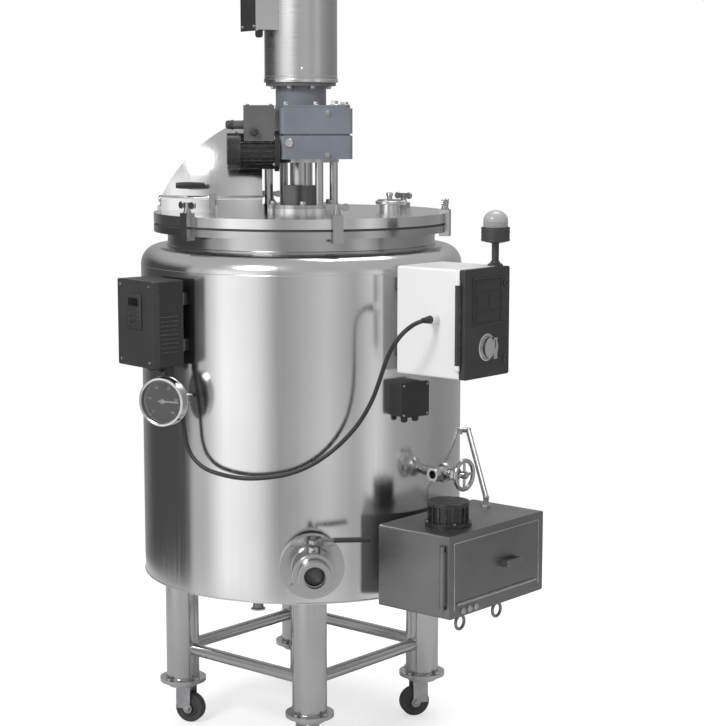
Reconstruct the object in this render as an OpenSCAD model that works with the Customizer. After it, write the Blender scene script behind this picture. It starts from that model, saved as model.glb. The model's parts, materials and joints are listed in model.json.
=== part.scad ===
// Jacketed mixing tank on four casters, with a coaxial agitator drive on its lid.
// Millimetres, +Z up. The origin is on the floor, on the axis of the vessel.

/* [Tank] */
// Outside diameter of the outer cladding
shell_d = 850; // [830:1:880]
// Straight height of the cladding
shell_h = 822; // [780:1:900]
// Height of the underside of the cladding above the floor
ground_gap = 433; // [410:1:480]
// Inside diameter of the inner vessel
vessel_d = 700; // [690:1:706]
// Wall of the inner vessel and of the jacket
wall = 4; // [3:0.5:5]
// Width of the jacket space between the vessel and the jacket shell
jacket_gap = 34; // [28:1:36]
// Sheet thickness of the cladding
cladding_t = 2; // [1.5:0.5:3]
// Radius of the rounded shoulder of the cladding
shoulder_r = 50; // [40:1:60]
// Height of the bare neck between the shoulder and the flange
neck_h = 36; // [30:1:50]

/* [Lid] */
// Outside diameter of the vessel flange and of the lid
lid_d = 780; // [776:1:800]
// Thickness of the vessel flange
flange_t = 18; // [12:1:24]
// Thickness of the lid gasket
gasket_t = 6; // [4:1:8]
// Height of the lid rim
lid_rim_h = 25; // [20:1:30]
// Thickness of the lid plate
lid_plate_t = 5; // [4:1:8]
// Distance from the edge of the lid to the foot of the domed hatch
hatch_margin = 19; // [18:1:25]
// Radius of the sphere of the hatch dome
dome_r = 412; // [400:1:430]
// Height of the coaming around the hatch opening
coaming_h = 33; // [25:1:40]
// Sheet thickness of the hatch
hatch_t = 3; // [2:0.5:5]

/* [Drive] */
// Height of the lantern that carries the gearbox
lantern_h = 140; // [120:1:160]
// Height of the lower gearbox housing
gear_low_h = 60; // [55:1:70]
// Height of the upper gearbox housing
gear_up_h = 73; // [65:1:80]
// Diameter of the adapter neck under the main motor
adapter_d = 133; // [120:1:150]
// Height of the adapter neck
adapter_h = 50; // [40:1:60]
// Diameter of the stainless cover of the main motor
cover_d = 191; // [185:1:200]
// Height of the stainless cover of the main motor
cover_h = 283; // [270:1:300]
// Diameter of the side motor
side_d = 92; // [86:1:94]
// Diameter of the solid inner shaft
inner_shaft_d = 30; // [26:1:34]
// Outside diameter of the hollow outer shaft
outer_shaft_d = 60; // [54:1:64]

/* [Running gear] */
// Radius of the circle on which the legs stand
leg_circle_r = 328; // [320:1:340]
// Outside diameter of a leg tube
leg_d = 89; // [80:1:96]
// Wall of a leg tube
leg_wall = 3; // [2:0.5:5]
// Diameter of a brace tube
brace_d = 32; // [26:1:38]
// Height of the braces above the floor
brace_z = 207; // [190:1:240]
// Diameter of a caster wheel
wheel_d = 80; // [76:1:84]
// Width of a caster wheel
wheel_w = 28; // [24:1:30]

/* [Boxes] */
// Direction in which the two right-hand boxes stand, in degrees
right_angle = -45; // [-50:1:-40]
// Direction in which the inverter box stands, in degrees
left_angle = -144; // [-148:1:-141]
// Width of the control cabinet
cabinet_w = 182; // [170:1:200]
// Depth of the control cabinet without its door
cabinet_depth = 190; // [170:1:200]
// Height of the control cabinet
cabinet_h = 266; // [250:1:280]
// Height of the underside of the control cabinet above the floor
cabinet_z = 1011; // [1000:1:1030]
// Width of the service box
service_w = 392; // [380:1:410]
// Depth of the service box without its door
service_depth = 203; // [190:1:215]
// Height of the service box
service_h = 205; // [190:1:220]
// Height of the underside of the service box above the floor
service_z = 437; // [436:1:450]
// Width of the inverter box
inverter_w = 153; // [140:1:160]
// Depth of the inverter box without its cover
inverter_depth = 72; // [60:1:80]
// Height of the inverter box
inverter_h = 216; // [200:1:230]
// Height of the underside of the inverter box above the floor
inverter_z = 1022; // [1010:1:1030]

/* [Outlet] */
// Inside diameter of the outlet pipe
outlet_d = 51; // [48:1:54]
// Height of the outlet axis above the floor
outlet_z = 539; // [530:1:545]
// Diameter of the outlet flange
outlet_flange_d = 160; // [150:1:170]

/* [Hidden] */
$fn = 64;

// Clearances and the overrun of every cut
seat_gap = 0.3;
run_gap = 0.05;
free_gap = 1;
over = 2;

// Heights of the tank
shell_r = shell_d / 2;
shoulder_z = ground_gap + shell_h;
shoulder_top = shoulder_z + shoulder_r;
flange_z = shoulder_top + neck_h;
gasket_z = flange_z + flange_t;
lid_z = gasket_z + gasket_t;
lid_top = lid_z + lid_rim_h;
floor_plate_t = 3;

// Vessel and jacket
vessel_r = vessel_d / 2;
vessel_or = vessel_r + wall;
dish_r = vessel_d;
bottom_room = 72;
vessel_bot = ground_gap + bottom_room;
dish_z = vessel_bot + dish_r;
knee_z = dish_z - sqrt(dish_r * dish_r - vessel_r * vessel_r);
jacket_r = vessel_or + jacket_gap;
jacket_or = jacket_r + wall;
jacket_dish_r = dish_r + wall + jacket_gap;
jacket_knee_z = dish_z - sqrt(jacket_dish_r * jacket_dish_r - jacket_r * jacket_r);
jacket_top_drop = 95;
jacket_top = shoulder_z - jacket_top_drop;
drain_d = 27;
drain_wall = 3;
drain_x = -130;
drain_y = -320;
drain_drop = 38;
drain_bottom = ground_gap - drain_drop;
drain_h = jacket_knee_z - drain_bottom;
wool_gap = 0.5;
wool_top_drop = 5;

// Flange, lid and clamps
flange_lip = 40;
flange_r = lid_d / 2;
gasket_w = 34;
lid_rim_w = 16;
clamp_n = 6;
clamp_start = -140;
clamp_w = 26;
clamp_t = 13;
clamp_jaw_h = 10;
clamp_reach = 13;
clamp_screw_d = 12;
clamp_screw_h = 26;
clamp_wing_w = 44;
clamp_wing_t = 5;
port_x = 235;
port_d = 54;
port_wall = 2;
port_h = 22;
port_cap_d = 64;
port_cap_h = 8;
port_knob_d = 14;
port_knob_h = 9;
shaft_hole_gap = 3;

// Hatch
hatch_r = lid_d / 2 - hatch_margin;
hatch_gasket_t = 4;
hatch_z = lid_top + coaming_h + hatch_gasket_t;
dome_z = hatch_z - sqrt(dome_r * dome_r - hatch_r * hatch_r);
hatch_right_x = 104;
front_r = 330;
front_x = -180;
front_y = 290;
coaming_t = 8;
lid_opening_in = 8;
hinge_angle = 135;
hinge_off = 11;
hinge_r = hatch_r + hinge_off;
hinge_pin_d = 9;
hinge_eye_d = 16;
hinge_span = 150;
hinge_ear_t = 8;
hinge_arm_w = 14;
hinge_foot_h = 6;
hinge_z = hatch_z + hinge_foot_h;
handle_x = -292;
handle_w = 76;
handle_d = 14;
handle_out = 38;
handle_up = 34;
handle_post_d = 9;
latch_x = -236;
latch_w = 16;
latch_t = 5;
latch_base_h = 12;
latch_pin_d = 6;
latch_h = 42;
latch_lip = 9;
latch_gap = 0.6;
latch_off = 9;
lug_t = 4;
lug_h = 6;

// Drive
pad_h = 10;
lantern_r = 100;
lantern_plate_h = 10;
post_r = 86;
post_d = 22;
post_angles = [0, -60, 120, 180];
seal_d = 92;
seal_h = 58;
seal_cup_w = 42;
seal_cup_h = 50;
seal_cup_angle = -120;
seal_cup_corner = 9;
gear_z = lid_top + lantern_h;
gear_round_r = 74;
gear_left = 62;
gear_right = 126;
gear_front = 142;
gear_corner = 14;
seam_h = 5;
seam_in = 6;
gear_top = gear_z + gear_low_h + seam_h + gear_up_h;
side_y = -95;
side_rise = 20;
side_z = gear_z + side_rise;
adapter_lip = 8;
motor_z = gear_top + adapter_h;
motor_flange_d = 184;
motor_flange_h = 16;
motor_body_d = 158;
motor_body_h = 200;
rotor_gap = 0.05;
cover_t = 2.5;
cover_lift = 9;
cover_band_h = 10;
cover_band_t = 1.5;
cover_cap_h = 12;
cover_z = motor_z + cover_lift;
cover_top = cover_z + cover_h;
fan_room = 14;
fan_d = 140;
fan_h = 22;
fan_blade_t = 3;
fan_blade_n = 7;
fan_disc_t = 4;
fan_hub_wall = 8;
box_angle = -155;
tbox_w = 82;
tbox_depth = 52;
tbox_h = 92;
tbox_top_drop = 58;
tbox_lid_t = 6;
tbox_lid_over = 3;
spigot_h = 30;
side_flange_t = 12;
side_flange_d = 104;
side_body_l = 88;
side_fin_t = 2;
side_fin_h = 5;
side_fin_n = 24;
cowl_l = 34;
cowl_t = 2;
cowl_hole_d = 8;
cowl_ring_n = 6;
cowl_fan_gap = 6;
side_fan_d = 70;
side_fan_h = 12;
side_shaft_d = 14;
side_box_w = 78;
side_box_d = 76;
side_box_h = 72;
side_box_gland_d = 22;
side_box_gland_l = 26;

// Agitator
anchor_gap = 24;
anchor_r = vessel_r - anchor_gap;
anchor_bar = 16;
anchor_w = 40;
anchor_top_drop = 120;
anchor_top = lid_top - anchor_top_drop;
anchor_dish_out = dish_r - anchor_gap;
anchor_dish_in = anchor_dish_out - anchor_bar * 2;
hub_d = 76;
hub_h = 44;
hub_top_h = 66;
scraper_gap = 1.2;
scraper_t = 10;
scraper_h = 110;
scraper_n = 4;
scraper_every = 150;
scraper_start = knee_z + anchor_bar * 2;
bush_boss_d = 76;
bush_boss_h = 20;
bush_pin_h = 50;
shaft_end_rise = 120;
impeller_d = 300;
impeller_hub_d = 64;
impeller_hub_h = 46;
impeller_n = 4;
impeller_blade_w = 46;
impeller_blade_t = 5;
impeller_tilt = 45;
impeller_zs = [vessel_bot + shaft_end_rise, vessel_bot + shaft_end_rise + impeller_d];

// Boxes on the right
bracket_out = 15;
right_back = shell_r + bracket_out;
cabinet_shift = -45;
cabinet_t = 2;
cabinet_corner = 6;
door_gap = 0.4;
door_t = 16;
cabinet_front = right_back + cabinet_depth;
cabinet_top = cabinet_z + cabinet_h;
screen_w = 108;
screen_h = 104;
screen_t = 3;
screen_sink = 2;
screen_corner = 14;
screen_drop = 80;
knob_d = 54;
knob_h = 14;
knob_grip_w = 14;
knob_grip_h = 12;
knob_rise = 73;
knob_spindle_d = 10;
pin_d = 6;
eye_d = 12;
eye_gap = 0.5;
eye_off = 7;
eye_margin = 24;
rail_w = 110;
rail_h = 30;
rail_in = 50;
lamp_x_in = 16;
lamp_y_in = 16;
lamp_stem_d = 18;
lamp_stem_h = 60;
lamp_base_d = 70;
lamp_base_h = 34;
lamp_dome_d = 62;
lamp_dome_h = 42;
lamp_wall = 2.5;
service_shift = -10;
service_t = 2;
service_front = right_back + service_depth;
service_top = service_z + service_h;
pull_w = 62;
pull_h = 16;
pull_t = 4;
pull_out = 20;
pull_post = 8;
pull_y = 35;
hook_d = 8;
hook_r = 17;
hook_in = 14;
hook_drop = 10;
hook_post_d = 12;
hook_ys = [-122, 30];
pump_x_in = 66;
pump_y = -104;
pump_d = 104;
pump_foot_d = 116;
pump_foot_h = 12;
pump_h = 40;
pump_cap_h = 10;
pump_fin_n = 18;
pump_fin_t = 3;
pump_fin_out = 5;
conduit_d = 14;
conduit_bead = 1;
conduit_nut_d = 24;
conduit_nut_h = 8;
conduit_angle = -8;
conduit_start_z = 805;
conduit_out = 22;
conduit_x = 520;
conduit_y = 130;
conduit_rise = 24;
junction_angle = -56;
junction_w = 86;
junction_h = 84;
junction_depth = 38;
junction_z = 900;
junction_lid_t = 6;
junction_corner = 6;

// Box and dial on the left
left_back = shell_r + bracket_out;
inverter_front = left_back + inverter_depth;
inverter_cover_t = 20;
inverter_t = 3;
inverter_corner = 5;
dial_angle = -137;
dial_z = 938;
dial_out = 60;
dial_face_angle = -118;
dial_d = 122;
dial_t = 30;
dial_rim = 6;
dial_depth = 12;
dial_stem_d = 16;
dial_socket_d = 30;
dial_socket_h = 18;
needle_l = 44;
needle_tail = 12;
needle_w = 4;
needle_t = 1.5;
needle_hub_d = 12;
needle_off = 2;
needle_pin_d = 4;

// Legs and casters
leg_angles = [0, 90, 180, 270];
leg_pad_d = 136;
leg_pad_h = 8;
leg_foot_d = 125;
leg_foot_h = 10;
leg_foot_z = 114;
stub_h = 6;
stub_d = 84;
bolt_d = 10;
bolt_head_d = 16;
bolt_head_h = 6;
bolt_circle_r = 52;
kingpin_d = 16;
fork_top_z = 106;
fork_plate_t = 5;
fork_w = 46;
fork_t = 4;
fork_l = 60;
fork_trail = 22;
axle_d = 10;
axle_head_d = 17;
axle_head_h = 4;
wheel_hub_d = 24;
tyre_t = 9;
caster_yaw = [10, 60, -25, 140];

// Outlet valve
outlet_r = outlet_d / 2;
outlet_wall = 2.5;
outlet_or = outlet_r + outlet_wall;
outlet_neck = 30;
outlet_flange_t = 14;
outlet_face = shell_r + outlet_neck;
valve_y = outlet_face + seat_gap;
valve_d = 104;
valve_l = 84;
valve_end_d = 78;
valve_end_l = 22;
socket_d = 54;
socket_l = 20;
ball_d = 78;
stem_d = 16;
stem_top = 22;
lever_w = 22;
lever_t = 5;
lever_l = 118;
lever_up = 16;
lever_step = 20;
bonnet_d = 36;
bonnet_h = 12;
outlet_bolt_n = 4;
outlet_bolt_r = 68;

// Jacket valve
jv_z = 748;
jv_pipe_d = 27;
jv_bore_d = 21;
jv_room_d = 30;
jv_out = 58;
jv_ball_d = 54;
jv_port_l = 48;
jv_port_d = 34;
jv_bonnet_l = 44;
jv_bonnet_d = 30;
jv_stem_d = 9;
jv_stem_l = 26;
jv_wheel_d = 84;
jv_rim_d = 11;
jv_spoke_t = 7;
jv_hub_d = 20;
jv_hub_h = 12;

// Cable from the cabinet to the inverter box
cable_d = 11;
cable_sides = 8;
cable_steps = 4;
cable_lean = [0.3, 0.5, 0.8];
gland_d = 24;
gland_l = 22;
gland_x = 560;
gland_rise = 144;
gland_z = cabinet_z + gland_rise;
gland2_x = 470;
gland2_y = 58;
cable_route = [
    [284, -507.4, 1155], [262, -529.4, 1154], [238, -544, 1146], [213, -546, 1126], [194, -534, 1098],
    [178, -514, 1060], [164, -495, 1010], [146, -478, 955], [116, -463, 898], [74, -454, 848],
    [26, -450, 808], [-26, -449, 780], [-86, -442, 763], [-168, -419, 755], [-246, -379, 766],
    [-285, -354, 790], [-304, -341, 822], [-312, -336, 866], [-318, -333, 916], [-333, -327, 960],
    [-346, -323, 1000]];

module ring(ro, ri, h) {
    difference() {
        cylinder(r = ro, h = h);
        translate([0, 0, -over]) cylinder(r = ri, h = h + over * 2);
    }
}

// Turns +Z to point outwards along +X
module outwards() {
    rotate([0, 90, 0]) children();
}

// Moves +X to a compass direction of the tank
module facing(angle) {
    rotate([0, 0, angle]) children();
}

module rod(a, b, r) {
    d = b - a;
    l = norm(d);
    translate(a) rotate([0, acos(d[2] / l), atan2(d[1], d[0])]) cylinder(r = r, h = l);
}

module rounded_slab(w, d, h, r) {
    translate([r, 0, 0]) cube([w - r * 2, d, h]);
    translate([0, r, 0]) cube([w, d - r * 2, h]);
    for (x = [r, w - r], y = [r, d - r]) translate([x, y, 0]) cylinder(r = r, h = h);
}

// Vessel, jacket and cladding
module outlet_hole(r) {
    translate([0, 0, outlet_z]) rotate([90, 0, 0]) cylinder(r = r, h = shell_r + over);
}

module inner_vessel() {
    color("silver") difference() {
        union() {
            translate([0, 0, knee_z]) cylinder(r = vessel_or, h = gasket_z - knee_z);
            intersection() {
                translate([0, 0, dish_z]) sphere(r = dish_r + wall, $fn = 96);
                translate([0, 0, vessel_bot - wall - over])
                    cylinder(r = vessel_or, h = knee_z - vessel_bot + wall + over);
            }
            translate([0, 0, outlet_z]) rotate([90, 0, 0]) cylinder(r = outlet_or, h = outlet_face);
            translate([0, -outlet_face + outlet_flange_t, outlet_z]) rotate([90, 0, 0])
                cylinder(d = outlet_flange_d, h = outlet_flange_t);
        }
        translate([0, 0, knee_z]) cylinder(r = vessel_r, h = gasket_z - knee_z + over);
        intersection() {
            translate([0, 0, dish_z]) sphere(r = dish_r, $fn = 96);
            translate([0, 0, vessel_bot - over]) cylinder(r = vessel_r, h = knee_z - vessel_bot + over * 2);
        }
        translate([0, 0, outlet_z]) rotate([90, 0, 0]) cylinder(r = outlet_r, h = outlet_face + over);
    }
}

module jacket_shell() {
    color("lightgrey") difference() {
        union() {
            translate([0, 0, jacket_knee_z]) cylinder(r = jacket_or, h = jacket_top - jacket_knee_z);
            intersection() {
                translate([0, 0, dish_z]) sphere(r = jacket_dish_r + wall, $fn = 96);
                translate([0, 0, ground_gap]) cylinder(r = jacket_or, h = jacket_knee_z - ground_gap);
            }
            translate([drain_x, drain_y, drain_bottom]) cylinder(d = drain_d, h = drain_h);
        }
        translate([0, 0, jacket_knee_z]) cylinder(r = jacket_r, h = jacket_top - wall - jacket_knee_z);
        intersection() {
            translate([0, 0, dish_z]) sphere(r = jacket_dish_r, $fn = 96);
            translate([0, 0, ground_gap]) cylinder(r = jacket_r, h = jacket_knee_z - ground_gap + over);
        }
        translate([0, 0, jacket_top - wall - over]) cylinder(r = vessel_or + seat_gap, h = wall + over * 2);
        translate([drain_x, drain_y, drain_bottom - over])
            cylinder(d = drain_d - drain_wall * 2, h = drain_h + over * 2);
        outlet_hole(outlet_or + seat_gap);
        facing(right_angle) translate([0, 0, jv_z]) outwards()
            cylinder(d = jv_pipe_d + seat_gap * 2, h = shell_r);
    }
}

module insulation() {
    wool_r = shell_r - cladding_t - wool_gap;
    wool_z = ground_gap + floor_plate_t;
    color("khaki") difference() {
        translate([0, 0, wool_z]) ring(wool_r, jacket_or + wool_gap, shoulder_z - wool_top_drop - wool_z);
        outlet_hole(outlet_or + free_gap);
        facing(right_angle) translate([0, 0, jv_z]) outwards()
            cylinder(d = jv_pipe_d + free_gap * 2, h = shell_r);
    }
}

module cladding() {
    color("gainsboro") difference() {
        union() {
            translate([0, 0, ground_gap]) cylinder(r = shell_r, h = shell_h);
            translate([0, 0, shoulder_z]) rotate_extrude() shoulder_profile(shoulder_r);
        }
        translate([0, 0, ground_gap + floor_plate_t])
            cylinder(r = shell_r - cladding_t, h = shell_h - floor_plate_t);
        translate([0, 0, shoulder_z - over])
            cylinder(r = shell_r - shoulder_r, h = shoulder_r - cladding_t + over);
        translate([0, 0, shoulder_z]) rotate_extrude() shoulder_profile(shoulder_r - cladding_t);
        translate([0, 0, shoulder_z]) cylinder(r = vessel_or + seat_gap, h = shoulder_r + over);
        outlet_hole(outlet_or + seat_gap);
        facing(right_angle) translate([0, 0, jv_z]) outwards()
            cylinder(d = jv_pipe_d + seat_gap * 2, h = shell_r + over);
        translate([drain_x, drain_y, ground_gap - over])
            cylinder(d = drain_d + seat_gap * 2, h = floor_plate_t + over * 2);
    }
}

module shoulder_profile(r) {
    intersection() {
        square([shell_r, shoulder_r]);
        union() {
            translate([shell_r - shoulder_r, 0]) circle(r = r, $fn = 96);
            square([shell_r - shoulder_r, r]);
        }
    }
}

module vessel_flange() {
    color("silver") translate([0, 0, flange_z]) ring(flange_r, vessel_or + seat_gap, flange_t);
}

module lid_gasket() {
    color("dimgrey") translate([0, 0, gasket_z]) ring(vessel_or + gasket_w, vessel_r, gasket_t);
}

// Plan of the hatch, drawn in by a margin
module hatch_plan(inset) {
    intersection() {
        circle(r = hatch_r - inset, $fn = 128);
        translate([front_x, front_y]) circle(r = front_r - inset, $fn = 128);
        translate([-hatch_right_x - inset - hatch_r * 2, -hatch_r]) square(hatch_r * 2);
    }
}

module fixed_lid() {
    color("whitesmoke") difference() {
        union() {
            translate([0, 0, lid_z]) cylinder(r = flange_r, h = lid_rim_h);
            translate([0, 0, lid_top]) linear_extrude(height = coaming_h) hatch_plan(0);
            translate([port_x, 0, lid_top]) cylinder(d = port_d, h = port_h);
            translate([0, 0, lid_top]) cylinder(r = lantern_r, h = pad_h);
            translate([latch_x, latch_ear_y(), lid_top]) latch_ears();
        }
        translate([0, 0, lid_z - over]) cylinder(r = flange_r - lid_rim_w, h = lid_rim_h - lid_plate_t + over);
        translate([0, 0, lid_z]) linear_extrude(height = lid_rim_h + coaming_h + over)
            hatch_plan(lid_opening_in);
        translate([port_x, 0, lid_z]) cylinder(d = port_d - port_wall * 2, h = lid_rim_h + port_h + over);
        translate([0, 0, lid_z]) cylinder(d = outer_shaft_d + shaft_hole_gap * 2, h = lid_rim_h + pad_h + over);
    }
}

function front_edge_y(x) = front_y - sqrt(front_r * front_r - (x - front_x) * (x - front_x));
function latch_ear_y() = front_edge_y(latch_x) - latch_off;

module latch_ears() {
    for (s = [-1, 1]) translate([s * (latch_w / 2 + free_gap / 2 + latch_t / 2), 0, 0])
        difference() {
            translate([-latch_t / 2, -latch_base_h / 2, 0])
                cube([latch_t, latch_base_h, latch_base_h + latch_pin_d]);
            translate([-latch_t, 0, latch_base_h]) outwards()
                cylinder(d = latch_pin_d + run_gap * 2, h = latch_t * 2);
        }
}

module lid_clamps() {
    color("lightsteelblue") for (i = [0:clamp_n - 1]) facing(clamp_start + i * 360 / clamp_n) {
        translate([flange_r + seat_gap, -clamp_w / 2, flange_z - clamp_jaw_h])
            cube([clamp_t, clamp_w, lid_top - flange_z + clamp_jaw_h * 2]);
        for (z = [flange_z - clamp_jaw_h, lid_top])
            translate([flange_r - clamp_reach, -clamp_w / 2, z])
                cube([clamp_reach + clamp_t, clamp_w, clamp_jaw_h]);
        translate([flange_r, 0, lid_top + clamp_jaw_h]) cylinder(d = clamp_screw_d, h = clamp_screw_h);
        translate([flange_r - clamp_wing_t / 2, -clamp_wing_w / 2, lid_top + clamp_jaw_h + clamp_screw_h / 2])
            cube([clamp_wing_t, clamp_wing_w, clamp_screw_h / 2]);
    }
}

module hatch_gasket() {
    color("white") translate([0, 0, lid_top + coaming_h]) linear_extrude(height = hatch_gasket_t - seat_gap)
        difference() {
            hatch_plan(0);
            hatch_plan(coaming_t);
        }
}

module hatch_solid(t) {
    intersection() {
        translate([0, 0, dome_z]) sphere(r = dome_r - t, $fn = 128);
        translate([front_x, front_y, hatch_z]) sphere(r = front_r - t, $fn = 128);
        translate([-hatch_right_x - t - hatch_r * 2, -hatch_r, hatch_z]) cube(hatch_r * 2);
    }
}

module hatch_lid() {
    color("gainsboro") {
        difference() {
            hatch_solid(0);
            translate([0, 0, -over]) hatch_solid(hatch_t);
            hatch_solid(hatch_t);
        }
        facing(hinge_angle) for (s = [-1, 1]) translate([0, s * hinge_span / 2, 0]) difference() {
            union() {
                translate([hinge_r, hinge_arm_w / 2, hinge_z]) rotate([90, 0, 0])
                    cylinder(d = hinge_eye_d, h = hinge_arm_w);
                translate([hatch_r - hinge_eye_d - hinge_off, -hinge_arm_w / 2, hatch_z])
                    cube([hinge_eye_d + hinge_off * 2, hinge_arm_w, hinge_foot_h + hinge_eye_d / 2]);
            }
            translate([hinge_r, hinge_arm_w, hinge_z]) rotate([90, 0, 0])
                cylinder(d = hinge_pin_d + run_gap * 2, h = hinge_arm_w * 2);
            hatch_cut(s);
        }
        translate([latch_x - latch_w / 2, front_edge_y(latch_x) - lug_t, hatch_z]) latch_lug();
    }
}

// Room inside the dome that a hinge arm stays out of
module hatch_cut(s) {
    translate([0, -s * hinge_span / 2, 0]) facing(-hinge_angle) hatch_solid(hatch_t);
}

module latch_lug() {
    difference() {
        cube([latch_w, lug_t * 2, lug_h]);
        translate([-latch_x + latch_w / 2, -front_edge_y(latch_x) + lug_t, -hatch_z]) hatch_solid(hatch_t);
    }
}

module hatch_handle() {
    bar_z = hatch_z + handle_up;
    bar_y = front_edge_y(handle_x) - handle_out;
    color("black") difference() {
        union() {
            translate([handle_x - handle_w / 2, bar_y, bar_z]) outwards() cylinder(d = handle_d, h = handle_w);
            for (s = [-1, 1]) translate([handle_x + s * (handle_w - handle_d) / 2, bar_y, bar_z])
                rotate([-90, 0, 0]) cylinder(d = handle_post_d, h = handle_out * 2);
        }
        translate([front_x, front_y, hatch_z]) sphere(r = front_r + seat_gap, $fn = 128);
    }
}

module hatch_hinge() {
    color("silver") facing(hinge_angle) {
        for (s = [-1, 1]) translate([0, s * hinge_span / 2, 0])
            for (e = [-1, 1]) translate([0, e * (hinge_arm_w / 2 + hinge_ear_t / 2 + eye_gap), 0]) {
                translate([hinge_r, hinge_ear_t / 2, hinge_z]) rotate([90, 0, 0])
                    cylinder(d = hinge_eye_d, h = hinge_ear_t);
                translate([hinge_r - hinge_eye_d / 2, -hinge_ear_t / 2, lid_top])
                    cube([hinge_eye_d, hinge_ear_t, hinge_z - lid_top]);
            }
        translate([hinge_r, (hinge_span + hinge_arm_w) / 2 + hinge_ear_t + free_gap, hinge_z])
            rotate([90, 0, 0])
                cylinder(d = hinge_pin_d, h = hinge_span + hinge_arm_w + (hinge_ear_t + free_gap) * 2);
    }
}

module hatch_latch() {
    lug_top = hatch_z + lug_h + latch_gap;
    base = lid_top + latch_base_h;
    color("silver") translate([latch_x, latch_ear_y(), 0]) {
        translate([-latch_w / 2 - latch_t - free_gap, 0, base]) outwards()
            cylinder(d = latch_pin_d, h = latch_w + (latch_t + free_gap) * 2);
        translate([-latch_w / 2, -latch_t / 2, base - latch_pin_d / 2])
            cube([latch_w, latch_t, lug_top - base + latch_pin_d / 2 + latch_t]);
        translate([-latch_w / 2, -latch_t / 2, lug_top]) cube([latch_w, latch_lip, latch_t]);
    }
}

module port_cap() {
    color("silver") translate([port_x, 0, lid_top + port_h]) {
        cylinder(d = port_cap_d, h = port_cap_h);
        translate([0, 0, port_cap_h]) cylinder(d = port_knob_d, h = port_knob_h);
    }
}

// Lantern, seal, gearbox and motors
module lantern() {
    low = lid_top + pad_h;
    color("lightgrey") {
        difference() {
            translate([0, 0, low]) cylinder(r = lantern_r, h = lantern_plate_h);
            translate([0, 0, low - over]) cylinder(d = seal_d + seat_gap * 2, h = lantern_plate_h + over * 2);
        }
        difference() {
            translate([0, 0, gear_z - lantern_plate_h]) cylinder(r = lantern_r, h = lantern_plate_h);
            translate([0, 0, gear_z - lantern_plate_h - over])
                cylinder(d = outer_shaft_d + shaft_hole_gap * 2, h = lantern_plate_h + over * 2);
            translate([-side_end, side_y, side_z]) outwards()
                cylinder(d = side_flange_d + free_gap * 2, h = side_body_l + side_flange_t + free_gap);
        }
        for (a = post_angles) facing(a) translate([post_r, 0, low]) cylinder(d = post_d, h = gear_z - low);
    }
}

module shaft_seal() {
    low = lid_top + pad_h;
    color("grey") difference() {
        union() {
            translate([0, 0, low]) cylinder(d = seal_d, h = seal_h);
            facing(seal_cup_angle)
                translate([(seal_d - seal_cup_w) / 2, -seal_cup_w / 2, low + lantern_plate_h])
                rounded_slab(seal_cup_w, seal_cup_w, seal_cup_h, seal_cup_corner);
        }
        translate([0, 0, low - over]) cylinder(d = outer_shaft_d + run_gap * 2, h = seal_h + over * 2);
    }
}

module gear_plan(inset) {
    r = gear_corner;
    w = gear_left + gear_right - inset * 2;
    circle(r = gear_round_r - inset);
    translate([-gear_left + inset, -gear_front + inset]) {
        translate([r, 0]) square([w - r * 2, gear_front]);
        translate([0, r]) square([w, gear_front - r]);
        for (x = [r, w - r]) translate([x, r]) circle(r = r);
    }
}

module gearbox_housing() {
    color([0.49, 0.51, 0.56]) difference() {
        union() {
            translate([0, 0, gear_z]) linear_extrude(height = gear_low_h) gear_plan(0);
            translate([0, 0, gear_z + gear_low_h]) linear_extrude(height = seam_h) gear_plan(seam_in);
        }
        translate([0, 0, gear_z - over])
            cylinder(d = outer_shaft_d + run_gap * 2, h = gear_low_h + seam_h + over * 2);
        translate([-gear_left - over, side_y, side_z]) outwards()
            cylinder(d = side_shaft_d + run_gap * 2, h = spigot_h + over * 2);
    }
}

module gearbox_cover() {
    low = gear_z + gear_low_h + seam_h;
    color([0.52, 0.54, 0.6]) difference() {
        union() {
            translate([0, 0, low]) linear_extrude(height = gear_up_h - adapter_lip) gear_plan(0);
            translate([0, 0, low + gear_up_h - adapter_lip])
                linear_extrude(height = adapter_lip) gear_plan(seam_in);
            translate([0, 0, gear_top]) cylinder(d = adapter_d, h = adapter_h);
        }
        translate([0, 0, low - over]) cylinder(d = outer_shaft_d + free_gap * 2, h = spigot_h + over);
        translate([0, 0, low]) cylinder(d = inner_shaft_d + run_gap * 2, h = gear_up_h + adapter_h + over);
    }
}

module main_motor() {
    color("grey") difference() {
        union() {
            translate([0, 0, motor_z]) cylinder(d = motor_flange_d, h = motor_flange_h);
            translate([0, 0, motor_z + motor_flange_h]) cylinder(d = motor_body_d, h = motor_body_h);
        }
        translate([0, 0, motor_z - over])
            cylinder(d = inner_shaft_d + rotor_gap * 2, h = motor_flange_h + motor_body_h + over * 2);
    }
}

module main_motor_cover() {
    r = cover_d / 2;
    color("gainsboro") difference() {
        union() {
            translate([0, 0, cover_z]) cylinder(r = r, h = cover_h);
            translate([0, 0, cover_z]) cylinder(r = r + cover_band_t, h = cover_band_h);
            translate([0, 0, cover_top]) cylinder(r1 = r, r2 = r - cover_cap_h, h = cover_cap_h, $fn = 64);
        }
        translate([0, 0, cover_z - over]) cylinder(r = r - cover_t, h = cover_h - cover_t + over);
        translate([0, 0, cover_z - over])
            cylinder(d = motor_flange_d + seat_gap * 2, h = cover_h - cover_t + over);
    }
}

module main_terminal_box() {
    r = cover_d / 2;
    color("darkgrey") difference() {
        facing(box_angle) translate([0, -tbox_w / 2, cover_top - tbox_top_drop - tbox_h]) {
            cube([r + tbox_depth, tbox_w, tbox_h]);
            translate([r + tbox_depth, -tbox_lid_over, -tbox_lid_over])
                cube([tbox_lid_t, tbox_w + tbox_lid_over * 2, tbox_h + tbox_lid_over * 2]);
        }
        translate([0, 0, cover_z]) cylinder(r = r + seat_gap, h = cover_h);
    }
}

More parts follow.
